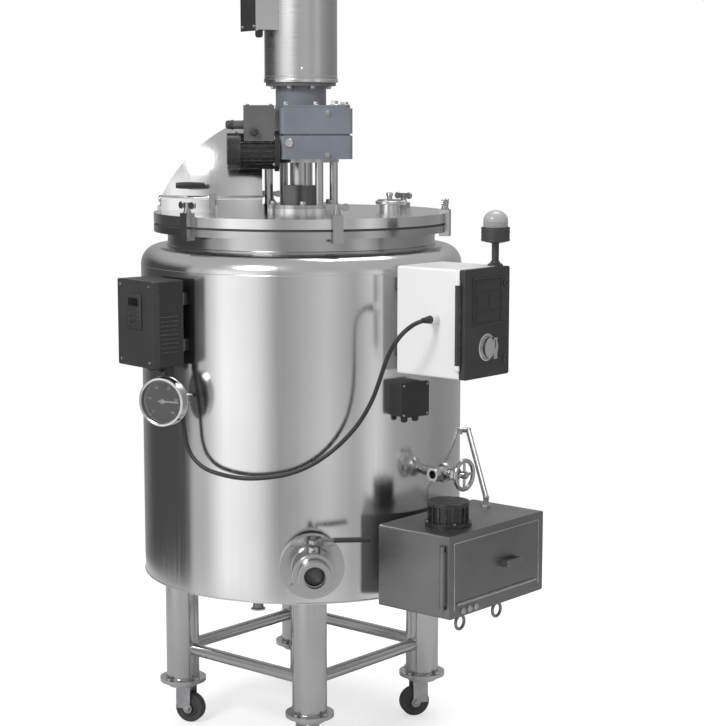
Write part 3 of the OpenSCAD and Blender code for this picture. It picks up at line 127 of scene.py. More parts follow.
def fit(form, part, place, direction=UP):
    """Stands a finished part at a place in a form, with its +Z along direction."""
    put(form, part, aimed(place, direction))


def turned(profile, steps=64):
    """A lathe shape: points of radius and height, spun once about +Z."""
    part = bmesh.new()
    line = [part.verts.new((r, 0, z)) for r, z in profile]
    edges = [part.edges.new(pair) for pair in zip(line, line[1:])]
    bmesh.ops.spin(part, geom=line + edges, cent=(0, 0, 0), axis=UP,
                   angle=math.tau, steps=steps, use_merge=True)
    bmesh.ops.remove_doubles(part, verts=part.verts, dist=SAME_POINT)
    return part


def bead(radius, size, steps=96, sides=10):
    """A ring of round section, such as a weld bead or a rolled edge."""
    part = bmesh.new()
    made = bmesh.ops.create_circle(part, radius=size, segments=sides)
    bmesh.ops.rotate(part, verts=made["verts"], cent=(0, 0, 0),
                     matrix=Matrix.Rotation(math.pi / 2, 3, "X"))
    bmesh.ops.translate(part, verts=made["verts"], vec=(radius, 0, 0))
    bmesh.ops.spin(part, geom=part.verts[:] + part.edges[:], cent=(0, 0, 0), axis=UP,
                   angle=math.tau, steps=steps, use_merge=True)
    bmesh.ops.remove_doubles(part, verts=part.verts, dist=SAME_POINT)
    return part


def soft_edges(part, edges, width, segments=2):
    """Rounds off some edges of a part."""
    bmesh.ops.bevel(part, geom=edges, offset=width, offset_type="OFFSET", affect="EDGES",
                    segments=segments, profile=0.5, material=-1, clamp_overlap=True)


def block(size, softness, segments=2):
    """A box about the origin with soft edges."""
    part = bmesh.new()
    bmesh.ops.create_cube(part, size=1)
    bmesh.ops.scale(part, vec=size, verts=part.verts)
    soft_edges(part, part.edges[:], softness, segments)
    return part


def tile(form, size, softness, place, turn=Matrix(), segments=2):
    """Adds a block to a form, at a place that is given in a turned frame."""
    put(form, block(size, softness, segments), turn @ Matrix.Translation(place))


def hexagon(across, height):
    """A hexagon head or nut that stands on the origin, with its top edge taken off."""
    part = bmesh.new()
    bmesh.ops.create_cone(part, cap_ends=True, segments=6, radius1=across / 2, radius2=across / 2,
                          depth=height)
    bmesh.ops.translate(part, verts=part.verts, vec=(0, 0, height / 2))
    top = [e for e in part.edges if all(v.co.z > height * 0.9 for v in e.verts)]
    soft_edges(part, top, HEAD_EDGE)
    return part


def bolt(form, place, direction, across, height):
    """A washer with a hexagon head on it, which sinks a little into the washer."""
    rim, thick, sunk = across * 0.62, 0.0018, 0.0003
    washer = ((0, 0), (rim, 0), (rim, thick - HEAD_EDGE), (rim - HEAD_EDGE, thick), (0, thick))
    fit(form, turned(washer, 32), place, direction)
    lifted = Vector(place) + Vector(direction).normalized() * (thick - sunk)
    fit(form, hexagon(across, height), lifted, direction)


def polar(radius, degrees, z=0):
    """A point at a radius, in a direction counted counterclockwise from +X."""
    return Vector((radius * math.cos(math.radians(degrees)),
                   radius * math.sin(math.radians(degrees)), z))


RIGHT_TURN = Matrix.Rotation(math.radians(-45), 4, "Z")
LEFT_TURN = Matrix.Rotation(math.radians(-144), 4, "Z")
RIGHT_OUT = RIGHT_TURN @ Vector(RIGHT)


def on_right(x, y, z):
    """A point given along and across the direction of the right-hand boxes."""
    return RIGHT_TURN @ Vector((x, y, z))


def on_left(x, y, z):
    """The same for the inverter box on the left."""
    return LEFT_TURN @ Vector((x, y, z))

# %% [markdown]
# The control cable is a real length of round cable. It leaves the gland of the cabinet,
# hangs in one long slack curve across the front of the cladding and ends in the gland of
# the inverter box. It is a curve with a round bevel, and a smooth line runs through the
# points of its route.

# %% Control cable
def smooth_route(points, steps):
    """A Catmull-Rom curve through the points, with steps pieces between two of them."""
    ends = [points[0]] + points + [points[-1]]
    made = []
    for before, here, there, after in zip(ends, ends[1:], ends[2:], ends[3:]):
        for k in range(steps):
            t = k / steps
            made.append(0.5 * (2 * here + (there - before) * t
                               + (2 * before - 5 * here + 4 * there - after) * t * t
                               + (3 * here - before - 3 * there + after) * t ** 3))
    return made + [points[-1]]


CABLE_RADIUS = 0.0055
CABLE_ROUTE = [Vector(p) / 1000 for p in (
    (284, -507.4, 1155), (262, -529.4, 1154), (238, -544, 1146), (213, -546, 1126),
    (194, -534, 1098), (178, -514, 1060), (164, -495, 1010), (146, -478, 955), (116, -463, 898),
    (74, -454, 848), (26, -450, 808), (-26, -449, 780), (-86, -442, 763), (-168, -419, 755),
    (-246, -379, 766), (-285, -354, 790), (-304, -341, 822), (-312, -336, 866), (-318, -333, 916),
    (-333, -327, 960), (-346, -323, 1000))]
cable_points = smooth_route(CABLE_ROUTE, steps=4)

cable_curve = bpy.data.curves.new("control_cable_run", "CURVE")
cable_curve.dimensions = "3D"
# the bevel is one metre, and the radius of each point scales it down to the cable's
cable_curve.bevel_depth = 1
cable_curve.bevel_resolution = 4
cable_curve.use_fill_caps = True
spline = cable_curve.splines.new("POLY")
spline.points.add(len(cable_points) - 1)
for place, point in zip(spline.points, cable_points):
    place.co = (*point, 1)
    place.radius = CABLE_RADIUS
spline.use_smooth = True
cable = bpy.data.objects.new("control_cable_run", cable_curve)
scene.collection.objects.link(cable)
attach(cable, "tank")
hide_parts("control_cable")
dressed.append((cable, "cable_jacket"))

# %% [markdown]
# The cable leaves each gland through a soft sleeve that keeps it from kinking. A sleeve is
# a short taper with a few ribs, and it is spun like the other turned pieces.

# %% Cable sleeves
def sleeve(name, place, direction):
    """A ribbed rubber taper, 30 mm long, around the cable where it leaves a gland."""
    bore, length = 0.0056, 0.030
    profile = [(bore, 0), (0.0098, 0)]
    for k in range(6):
        at = 0.003 + k * 0.0042
        wide = 0.0096 - k * 0.0005
        groove = wide - 0.0009
        profile += [(wide, at), (groove, at + 0.0008), (groove, at + 0.0022),
                    (wide - 0.0004, at + 0.0030)]
    profile += [(0.0066, length), (bore, length), (bore, 0)]
    form = bmesh.new()
    fit(form, turned(profile, 32), place, direction)
    return add_piece(name, form, "gasket_rubber")


first_sleeve = sleeve("cabinet_cable_sleeve", cable_points[0], cable_points[2] - cable_points[0])
last_sleeve = sleeve("inverter_cable_sleeve", cable_points[-1], cable_points[-3] - cable_points[-1])

# %% [markdown]
# The stage is a round pale floor. To the camera it glows a little, so that it turns white
# where light reaches it and still keeps the shadow of the tank. It is small on purpose: the
# steel then mirrors the sky past its edge, and not a sheet of white.

# %% Floor
FLOOR_RADIUS = 2.0
FLOOR_GREY = 0.55
FLOOR_GLOW = 0.56


def rgba(colour):
    """A colour for a socket. A single number is a grey."""
    return (*colour, 1) if isinstance(colour, tuple) else (colour, colour, colour, 1)


def set_inputs(node, values):
    """Gives the sockets of a node their values, by name."""
    for socket, value in values.items():
        node.inputs[socket].default_value = value


def add_node(tree, kind, values=None, **settings):
    """A new node with its settings and the values of its sockets."""
    made = tree.nodes.new(kind)
    for setting, value in settings.items():
        setattr(made, setting, value)
    set_inputs(made, values or {})
    return made


def link_all(tree, *links):
    """Makes links. Each names a node and its output, then a node and its input."""
    for source, output, target, socket in links:
        tree.links.new(source.outputs[output], target.inputs[socket])


def blank_material(name):
    """An empty node material, with its tree, its Principled shader and Object coordinates."""
    made = bpy.data.materials.new(name)
    made.use_nodes = True
    tree = made.node_tree
    coords = add_node(tree, "ShaderNodeTexCoord")
    return made, tree, tree.nodes["Principled BSDF"], coords.outputs["Object"]


floor_mesh = bpy.data.meshes.new("floor")
floor_form = bmesh.new()
bmesh.ops.create_circle(floor_form, cap_ends=True, segments=128, radius=FLOOR_RADIUS)
floor_form.to_mesh(floor_mesh)
floor_form.free()
floor = bpy.data.objects.new("floor", floor_mesh)
scene.collection.objects.link(floor)

floor_paint, tree, shader, _ = blank_material("pale_floor")
set_inputs(shader, {"Base Color": rgba(FLOOR_GREY), "Roughness": 0.9})
glow = add_node(tree, "ShaderNodeEmission", {"Color": rgba(1), "Strength": FLOOR_GLOW})
lifted = add_node(tree, "ShaderNodeAddShader")
who_looks = add_node(tree, "ShaderNodeLightPath")
to_camera = add_node(tree, "ShaderNodeMixShader")
paint_out = tree.nodes["Material Output"]
link_all(tree, (shader, 0, lifted, 0), (glow, 0, lifted, 1),
         (who_looks, "Is Camera Ray", to_camera, "Fac"), (shader, 0, to_camera, 1),
         (lifted, 0, to_camera, 2), (to_camera, 0, paint_out, "Surface"))
floor_mesh.materials.append(floor_paint)

# %% [markdown]
# The sky is white to the camera and through glass. Polished steel mirrors a room instead:
# dark at the far left, with a bright window to the left of the camera, a pale strip to its
# right, and a grey ceiling. The bands are in the sky, so they stay in the room when the view
# turns.

# %% Sky
# directions in degrees, counterclockwise from +X, each with its grey
ROOM_BANDS = ((20, 0.20), (90, 0.30), (130, 0.05), (175, 0.05), (195, 0.40), (210, 0.90),
              (235, 0.70), (250, 0.25), (285, 0.50), (305, 0.30), (320, 0.60), (335, 0.30))
ROOM_STRENGTH = 1.35
CEILING_GREY = 0.36
CEILING_STARTS, CEILING_FULL = 0.15, 0.45
FILL_GREY = 0.80

sky = bpy.data.worlds.new("studio_sky")
scene.world = sky
sky.use_nodes = True
tree = sky.node_tree
tree.nodes.clear()
direction = add_node(tree, "ShaderNodeTexCoord")
around = add_node(tree, "ShaderNodeTexGradient", gradient_type="RADIAL")
walls = add_node(tree, "ShaderNodeValToRGB")
bands = walls.color_ramp.elements
for degrees, level in ROOM_BANDS:
    # the gradient starts at -X, half a turn from where the directions are counted
    bands.new((degrees + 180) % 360 / 360).color = rgba(level)
bands.remove(bands[0])
bands.remove(bands[-1])

height = add_node(tree, "ShaderNodeSeparateXYZ")
upward = add_node(tree, "ShaderNodeMapRange",
                  {"From Min": CEILING_STARTS, "From Max": CEILING_FULL})
ceiling = add_node(tree, "ShaderNodeMix", {"B": rgba(CEILING_GREY)}, data_type="RGBA")
mirrored = add_node(tree, "ShaderNodeBackground", {"Strength": ROOM_STRENGTH})
white = add_node(tree, "ShaderNodeBackground", {"Color": rgba(1)})
fill = add_node(tree, "ShaderNodeBackground", {"Color": rgba(FILL_GREY)})
rays = add_node(tree, "ShaderNodeLightPath")
by_mirror = add_node(tree, "ShaderNodeMixShader")
seen_straight = add_node(tree, "ShaderNodeMath", operation="MAXIMUM")
by_eye = add_node(tree, "ShaderNodeMixShader")
world_out = add_node(tree, "ShaderNodeOutputWorld")
link_all(tree, (direction, "Generated", around, "Vector"), (around, "Fac", walls, "Fac"),
         (direction, "Generated", height, 0), (height, "Z", upward, "Value"),
         (upward, "Result", ceiling, "Factor"), (walls, "Color", ceiling, "A"),
         (ceiling, "Result", mirrored, "Color"), (rays, "Is Glossy Ray", by_mirror, "Fac"),
         (fill, 0, by_mirror, 1), (mirrored, 0, by_mirror, 2),
         (rays, "Is Camera Ray", seen_straight, 0), (rays, "Is Transmission Ray", seen_straight, 1),
         (seen_straight, 0, by_eye, "Fac"), (by_mirror, 0, by_eye, 1), (white, 0, by_eye, 2),
         (by_eye, 0, world_out, "Surface"))

# %% Lamps
LAMP_AIM = Vector((0, 0, 1))
MIRRORED_SHARE = 0.02


def soft_lamp(name, place, power, size):
    """A square lamp that looks at the middle of the tank. Steel mirrors it only faintly."""
    data = bpy.data.lights.new(name, "AREA")
    data.energy = power
    data.size = size
    data.specular_factor = MIRRORED_SHARE
    lamp = bpy.data.objects.new(name, data)
    lamp.location = place
    lamp.rotation_euler = (LAMP_AIM - Vector(place)).to_track_quat("-Z", "Y").to_euler()
    scene.collection.objects.link(lamp)


soft_lamp("key_lamp", (-2.6, -3.4, 4.0), power=120, size=1.2)
soft_lamp("top_lamp", (0.8, 0.6, 4.6), power=60, size=2.0)

# %% [markdown]
# The hatch is a dome with a bright rolled rim, which follows the outline of the dome's foot.
# A copy of the dome is cut with a plane just above that foot, and the cut line becomes the
# path of a round bar.

# %% Rolled rim of the hatch
def cut_loops(node, place, normal):
    """The outlines where a plane cuts a solid, as lists of points."""
    copy = bmesh.new()
    copy.from_mesh(nodes[node].data)
    bmesh.ops.remove_doubles(copy, verts=copy.verts, dist=SAME_POINT)
    cut = bmesh.ops.bisect_plane(copy, geom=copy.verts[:] + copy.edges[:] + copy.faces[:],
                                 plane_co=place, plane_no=normal, dist=1e-7)["geom_cut"]
    edges = {e for e in cut if isinstance(e, bmesh.types.BMEdge)}
    loops = []
    while edges:
        edge = edges.pop()
        path = [edge.verts[0], edge.verts[1]]
        while True:
            onward = next((e for e in path[-1].link_edges if e in edges), None)
            if onward is None:
                break
            edges.discard(onward)
            path.append(onward.other_vert(path[-1]))
        if path[0] == path[-1] and len(path) > 8:
            loops.append([v.co.copy() for v in path[:-1]])
    copy.free()
    return loops


def longest(loops):
    """The loop with the greatest length."""
    def length(loop):
        return sum((b - a).length for a, b in zip(loop, loop[1:] + loop[:1]))
    return max(loops, key=length)


def round_bar(points, radius, sides=8, spacing=0.004):
    """A closed bar of round section along a loop of points in a level plane."""
    part = bmesh.new()
    spaced = [points[0]]
    for point in points[1:]:
        if (point - spaced[-1]).length > spacing:
            spaced.append(point)
    rings = []
    for before, here, after in zip(spaced[-1:] + spaced[:-1], spaced, spaced[1:] + spaced[:1]):
        ahead = (after - before).normalized()
        ring = bmesh.ops.create_circle(part, radius=radius, segments=sides)["verts"]
        bmesh.ops.transform(part, matrix=aimed(here, ahead), verts=ring)
        rings.append([e for e in part.edges if e.verts[0] in ring and e.verts[1] in ring])
    for one, next_one in zip(rings, rings[1:] + rings[:1]):
        bmesh.ops.bridge_loops(part, edges=one + next_one)
    return part


RIM_RADIUS = 0.0035
RIM_HEIGHT = 0.0025
hatch_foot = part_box("hatch_gasket")[1].z
outline = longest(cut_loops("hatch_lid", (0, 0, hatch_foot + RIM_HEIGHT), UP))
form = bmesh.new()
put(form, round_bar(outline, RIM_RADIUS), Matrix())
add_piece("hatch_rim", form, "mirror_steel", "hatch")

# %% [markdown]
# Stainless tubes and rings are welded all round, and the welds stay visible as thin beads.
# Here they run around the neck of the vessel, around the tops and feet of the legs and
# around the ends of the braces.

# %% Weld beads
LEG_CIRCLE = 0.328
LEG_RADIUS = 0.0446
NECK_RADIUS = 0.3545
BRACE_RADIUS, BRACE_Z = 0.0160, 0.207
legs = [polar(LEG_CIRCLE, angle) for angle in (0, 90, 180, 270)]
form = bmesh.new()
fit(form, bead(NECK_RADIUS, 0.0028), (0, 0, 1.3058))
for leg in legs:
    for z in (0.4243, 0.1247):
        fit(form, bead(LEG_RADIUS, 0.0022, 48), (leg.x, leg.y, z))
for leg, following in zip(legs, legs[1:] + legs[:1]):
    along = (following - leg).normalized()
    for start, sense in ((leg, 1), (following, -1)):
        spot = start + along * sense * 0.0425
        fit(form, bead(BRACE_RADIUS, 0.0024, 32), (spot.x, spot.y, BRACE_Z), along)
add_piece("weld_beads", form, "brushed_steel")

# %% [markdown]
# Bolts hold the drive together: a ring on the lantern's foot, a few on the gearbox and its
# cover, a ring under the flange of the main motor, and four round the side motor. One helper
# draws a bolt, so each group is a short loop.

# %% Bolts of the drive
GEARBOX_FRONT = -0.142
GEARBOX_TOP = 1.668
SIDE_AXIS = Vector((0, -0.095, 1.55))

form = bmesh.new()
for angle in range(30, 390, 60):
    bolt(form, polar(0.087, angle, 1.410), UP, 0.016, 0.008)
for x, y in ((-0.045, -0.125), (0.109, -0.125), (0.032, -0.125), (0.109, -0.020)):
    bolt(form, (x, y, GEARBOX_TOP), UP, 0.014, 0.007)
for angle in range(20, 380, 45):
    bolt(form, polar(0.079, angle, 1.718), DOWN, 0.013, 0.006)
for z in (1.541, 1.648):
    bolt(form, (0.061, GEARBOX_FRONT, z), FRONT, 0.012, 0.005)
for y, z in ((-1, -1), (1, -1), (1, 1), (-1, 1)):
    bolt(form, SIDE_AXIS + Vector((-0.074, y * 0.032544, z * 0.032544)), LEFT, 0.009, 0.004)
add_piece("drive_bolts", form, "zinc")

# %% [markdown]
# A worm gearbox has an oil glass on its front and a filler plug on top. The bright glass is
# the light spot on the dark casting.

# %% Oil glass and filler plug
form = bmesh.new()
glass_rim = ((0, 0), (0.0105, 0), (0.0105, 0.004), (0.0095, 0.005), (0.0075, 0.005),
             (0.0065, 0.0035), (0, 0.0035))
fit(form, turned(glass_rim, 40), (-0.038, GEARBOX_FRONT, 1.572), FRONT)
bolt(form, (0.085, -0.060, GEARBOX_TOP), UP, 0.020, 0.010)
add_piece("oil_glass", form, "mirror_steel")

# %% [markdown]
# The stainless cover of the main motor is a drawn cap. A bright foot ring, two thin beads,
# three screws and a button on top say so better than a plain cylinder does.

# %% Cap of the motor cover
cover_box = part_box("main_motor_cover")
cover_foot = cover_box[0].z
cover_head = cover_box[1].z
form = bmesh.new()
fit(form, turned(((0.0958, 0), (0.0972, 0.0012), (0.0975, 0.003), (0.0975, 0.008),
                  (0.0968, 0.0098), (0.0957, 0.0102)), 96),
    (0, 0, cover_foot - 0.0004))
fit(form, bead(0.0957, 0.0011, 96, 8), (0, 0, cover_foot + 0.0155))
fit(form, bead(0.0955, 0.0010, 96, 8), (0, 0, cover_head - 0.0125))
for angle in (-90, 30, 150):
    fit(form, turned(((0, 0), (0.0052, 0), (0.0050, 0.0016), (0.0038, 0.0026), (0, 0.0030)), 24),
        polar(0.0954, angle, cover_foot + 0.034), polar(1, angle))
fit(form, turned(((0, 0), (0.016, 0), (0.016, 0.001), (0.007, 0.0026), (0.0055, 0.004),
                  (0, 0.0045)), 32),
    (0, 0, cover_head - 0.0035))
add_piece("motor_cover_trim", form, "mirror_steel")

# %% [markdown]
# The two terminal boxes have lids with screws, and cable glands: a hexagon nut, a domed nut
# and a blind plug. The glands are empty.

# %% Glands and lid screws
def gland(form, place, direction, size):
    """A cable gland on a face: a lock nut, a domed nut and a blind plug."""
    start = Vector(place)
    out = Vector(direction).normalized()
    fit(form, hexagon(size * 1.25, size * 0.28), start, out)
    dome = ((0, 0), (0.56 * size, 0), (0.56 * size, 0.42 * size), (0.52 * size, 0.58 * size),
            (0.38 * size, 0.74 * size), (0.30 * size, 0.76 * size), (0.28 * size, 0.66 * size),
            (0, 0.66 * size))
    fit(form, turned(dome, 24), start + out * size * 0.28, out)


def screw(form, place, direction, size):
    """A round screw head with a sunk middle."""
    cap = ((0, 0), (size, 0), (size, size * 0.75), (size * 0.85, size * 0.95),
           (size * 0.55, size * 0.95), (size * 0.5, size * 0.35), (0, size * 0.35))
    fit(form, turned(cap, 24), place, direction)


def corner_screws(form, turn, x, ys, zs, size):
    """Screws at the corners of a plate that looks along +X of its turned frame."""
    for y in ys:
        for z in zs:
            screw(form, turn @ Vector((x, y, z)), turn @ Vector(RIGHT), size)


form = bmesh.new()
side_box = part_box("side_terminal_box")
gland(form, (side_box[0].x, SIDE_AXIS.y, 1.618), LEFT, 0.020)
gland(form, (-0.128, -0.133, 1.60), FRONT, 0.018)
MAIN_BOX_TURN = Matrix.Rotation(math.radians(-155), 4, "Z")
gland(form, MAIN_BOX_TURN @ Vector((0.122, 0, 1.860)), DOWN, 0.018)
add_piece("cable_glands", form, "grey_plastic")

form = bmesh.new()
corner_screws(form, MAIN_BOX_TURN, 0.1535, (-0.034, 0.034), (1.868, 1.944), 0.0036)
for x in (-0.143, -0.083):
    for y in (-0.124, -0.066):
        screw(form, (x, y, side_box[1].z), UP, 0.0034)
add_piece("lid_screws", form, "zinc")

# %% [markdown]
# The side motor ends in a pressed cowl over its fan. Two raised rings on its face, one
# around its side and three screws make the pressing.

# %% Cowl of the side motor
cowl_end = SIDE_AXIS + Vector((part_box("side_motor_cowl")[0].x, 0, 0))
form = bmesh.new()
for radius, size, inward in ((0.044, 0.0012, 0.0004), (0.040, 0.0012, 0.0004),
                             (0.0472, 0.0010, 0.030)):
    fit(form, bead(radius, size, 64, 8), cowl_end + Vector((inward, 0, 0)), LEFT)
for angle in (90, 210, 330):
    out = Vector((0, math.cos(math.radians(angle)), math.sin(math.radians(angle))))
    screw(form, cowl_end + Vector((0.024, 0, 0)) + out * 0.0468, out, 0.0028)
add_piece("side_cowl_trim", form, "black_paint")

# %% [markdown]
# The lid clamps pull down with wing nuts. A wing nut is a hub with two rounded wings, and
# the photo shows them as bright knots on the dark line of the flange.

# %% Wing nuts of the lid
CLAMP_TOP = 1.4005
form = bmesh.new()
for angle in range(-140, 220, 60):
    middle = polar(0.390, angle, CLAMP_TOP)
    fit(form, turned(((0, 0), (0.011, 0), (0.011, 0.002), (0.009, 0.003), (0.0082, 0.013),
                      (0, 0.013)), 32), middle)
    for side in (-1, 1):
        wing = turned(((0, 0), (0.009, 0), (0.0095, 0.0012), (0.0095, 0.0058), (0.009, 0.007),
                       (0, 0.007)), 24)
        across = polar(1, angle + 90) * side
        root = middle + across * 0.0215 + Vector((0, 0, 0.0185)) - polar(0.0035, angle)
        fit(form, wing, root, polar(1, angle))
add_piece("wing_nuts", form, "brushed_steel")

# %% [markdown]
# The sanitary cap beside the drive is held by a two-part clamp ring. The ring is turned with
# the shallow V of such clamps, and a small nut stands at its side.

# %% Clamp ring of the port
PORT_X = 0.235
form = bmesh.new()
ring_profile = ((0.0305, -0.006), (0.0345, -0.006), (0.0375, -0.004), (0.0375, 0.003),
                (0.0345, 0.005), (0.0305, 0.005), (0.0305, -0.006))
fit(form, turned(ring_profile, 64), (PORT_X, 0, 1.4125))
fit(form, block((0.016, 0.012, 0.010), 0.001), (0.272, -0.008, 1.412))
bolt(form, (0.272, -0.014, 1.412), FRONT, 0.010, 0.006)
fit(form, turned(((0, 0), (0.0075, 0), (0.0095, 0.003), (0.0095, 0.007), (0.0080, 0.0095),
                  (0, 0.0105)), 32),
    (PORT_X, 0, 1.4285))
add_piece("port_clamp", form, "mirror_steel")

# %% [markdown]
# The dial has a dark face with a pale scale of ticks and plain numbers, under a sheet of
# glass that sits in a rounded bezel. The face is seen at a slant, so real ticks with a little
# height catch the light better than a painted scale.

# %% Dial face
DIAL_START, DIAL_SWEEP, TICKS = -135, 270, 50
MARKS_DEPTH = 0.0190
MARKS_RIM = 0.0515
NUMBERS_RADIUS = 0.0375
dial_out = polar(1, -118)
dial_back = polar(0.485, -137, 0.938)
dial_across = Vector(UP).cross(dial_out)
dial_turn = Matrix((dial_across, UP, dial_out)).transposed().to_4x4()


def on_dial(depth, x=0, y=0, turn=0):
    """A matrix at a depth before the dial's back, off its middle, and turned in its face."""
    place = dial_back + dial_across * x + Vector((0, 0, y)) + dial_out * depth
    return Matrix.Translation(place) @ dial_turn @ Matrix.Rotation(turn, 4, "Z")


form = bmesh.new()
put(form, turned(((0.0024, 0), (0.0548, 0), (0.0548, 0.0007), (0.0024, 0.0007), (0.0024, 0)), 96),
    on_dial(0.0181))
add_piece("dial_face", form, "panel_black", look="dial_dark")

form = bmesh.new()
for k in range(TICKS + 1):
    turn = math.radians(DIAL_START + k * DIAL_SWEEP / TICKS)
    long_one = k % 5 == 0
    reach = 0.0075 if long_one else 0.0042
    mark = block((0.0010 if long_one else 0.0006, reach, 0.0005), 0.0001, 1)
    bmesh.ops.translate(mark, verts=mark.verts, vec=(0, MARKS_RIM - reach / 2, 0))
    put(form, mark, on_dial(MARKS_DEPTH, turn=-turn))
put(form, bead(0.0522, 0.0004, 96, 6), on_dial(0.0189))
add_piece("dial_scale", form, "needle")

# %% Numbers of the dial
form = bmesh.new()
for value in range(0, 101, 20):
    turn = math.radians(DIAL_START + value * DIAL_SWEEP / 100)
    letters = bpy.data.curves.new("number", "FONT")
    letters.body = str(value)
    letters.size = 0.0085
    letters.align_x = "CENTER"
    letters.align_y = "CENTER"
    letters.extrude = 0.0002
    flat = bpy.data.objects.new("number", letters)
    scene.collection.objects.link(flat)
    bpy.context.view_layer.update()
    seen = flat.evaluated_get(bpy.context.evaluated_depsgraph_get())
    carved = bpy.data.meshes.new_from_object(seen)
    part = bmesh.new()
    part.from_mesh(carved)
    out, up = NUMBERS_RADIUS * math.sin(turn), NUMBERS_RADIUS * math.cos(turn)
    put(form, part, on_dial(MARKS_DEPTH, out, up))
    bpy.data.objects.remove(flat)
    bpy.data.meshes.remove(carved)
add_piece("dial_numbers", form, "needle")

# %% Bezel and glass
form = bmesh.new()
put(form, turned(((0.0545, -0.002), (0.0612, -0.002), (0.0614, 0.0005), (0.0600, 0.0024),
                  (0.0570, 0.0030), (0.0545, 0.0018), (0.0545, -0.002)), 96), on_dial(0.030))
put(form, bead(0.0612, 0.0010, 96, 8), on_dial(0.004))
add_piece("dial_bezel", form, "mirror_steel")
form = bmesh.new()
put(form, turned(((0, 0), (0.0550, 0), (0.0550, 0.0016), (0, 0.0016)), 96), on_dial(0.0268))
add_piece("dial_glass", form, "lens", look="clear_glass")

# %% [markdown]
# The signal lamp has a ribbed lens that spreads the light of a small bulb. The lens is one
# turned shell whose wall waves in and out, and it stands for the plain dome of the solid.

# %% Lens and collar of the signal lamp
lamp_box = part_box("lamp_dome")
lamp_middle = (lamp_box[0] + lamp_box[1]) / 2
lamp_foot = Vector((lamp_middle.x, lamp_middle.y, lamp_box[0].z))
shell = [(0.0305, 0)]
for k in range(7):
    at = 0.001 + k * 0.0021
    shell += [(0.0310, at + 0.0005), (0.0300, at + 0.0016)]
for k in range(1, 10):
    lean = math.radians(k * 10)
    shell.append((0.0306 * math.cos(lean), 0.0155 + 0.0262 * math.sin(lean)))
shell += [(0, 0.0417), (0, 0.0395)]
for k in range(8, -1, -1):
    lean = math.radians(k * 10)
    shell.append((0.0284 * math.cos(lean), 0.0155 + 0.0240 * math.sin(lean)))
shell += [(0.0284, 0), (0.0305, 0)]
form = bmesh.new()
fit(form, turned(shell, 72), lamp_foot)
lens = add_piece("lamp_lens", form, "lens")
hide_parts("lamp_dome")

form = bmesh.new()
for drop in (0.004, 0.0135, 0.031):
    fit(form, bead(0.0349, 0.0011, 72, 8), lamp_foot - Vector((0, 0, drop)))
fit(form, turned(((0.0090, 0), (0.0190, 0), (0.0190, 0.003), (0.0130, 0.006), (0.0105, 0.011),
                  (0.0090, 0.011), (0.0090, 0)), 48),
    lamp_foot - Vector((0, 0, 0.094)))
fit(form, turned(((0.0090, 0), (0.0120, 0), (0.0300, 0.004), (0.0300, 0.0052), (0.0090, 0.0052),
                  (0.0090, 0)), 48),
    lamp_foot - Vector((0, 0, 0.0392)))
add_piece("lamp_collar", form, "grey_plastic")

# %% [markdown]
# The door of the control cabinet carries a dark touch screen in a thin frame and a rotary
# switch. The switch has a bright ring plate, and its grip has an index line. Two quarter-turn
# locks keep the door shut on the side away from the hinges.

# %% Door of the cabinet
DOOR_FACE = 0.6464
DOOR_MIDDLE = -0.045
SCREEN_Z = 1.197
FRAME_BAR = 0.0035
FRAME_X = DOOR_FACE + 0.0009

form = bmesh.new()
for side in (-1, 1):
    tile(form, (0.0022, FRAME_BAR, 0.1155), 0.0006,
         (FRAME_X, DOOR_MIDDLE + side * 0.0577, SCREEN_Z), RIGHT_TURN)
    tile(form, (0.0022, 0.1189, FRAME_BAR), 0.0006,
         (FRAME_X, DOOR_MIDDLE, SCREEN_Z + side * 0.0560), RIGHT_TURN)
add_piece("screen_frame", form, "grey_plastic", "door")

form = bmesh.new()
fit(form, turned(((0.0280, 0), (0.0335, 0), (0.0335, 0.0008), (0.0325, 0.0016), (0.0280, 0.0016),
                  (0.0280, 0)), 64),
    on_right(DOOR_FACE, DOOR_MIDDLE, 1.084), RIGHT_OUT)
add_piece("knob_plate", form, "mirror_steel", "door")
form = bmesh.new()
for z in (1.052, 1.236):
    fit(form, turned(((0, 0), (0.0095, 0), (0.0095, 0.002), (0.0080, 0.0032), (0.0062, 0.0032),
                      (0.0058, 0.0016), (0, 0.0016)), 40),
        on_right(DOOR_FACE, 0.030, z), RIGHT_OUT)
add_piece("door_locks", form, "grey_plastic", "door")

form = bmesh.new()
tile(form, (0.0015, 0.0016, 0.020), 0.0004, (0.6725, DOOR_MIDDLE, 1.0945), RIGHT_TURN)
add_piece("knob_index", form, "black_plastic", "knob")

# %% [markdown]
# The screen has no picture, but a lit panel is never plain black: it shows a few dark
# fields, which are thin tiles of glossy grey on the glass.

# %% Fields of the screen
form = bmesh.new()
for z, y, wide, high in ((1.232, -0.045, 0.088, 0.012), (1.199, -0.067, 0.040, 0.034),
                         (1.199, -0.021, 0.036, 0.034), (1.161, -0.045, 0.088, 0.016)):
    tile(form, (0.0007, wide, high), 0.0002, (0.6477, y, z), RIGHT_TURN, 1)
add_piece("screen_fields", form, "screen_glass", "door", look="screen_dim")

# %% [markdown]
# The inverter box has cooling fins moulded in its sides and a small keypad, which is a
# raised plate with blank keys and a dark window.

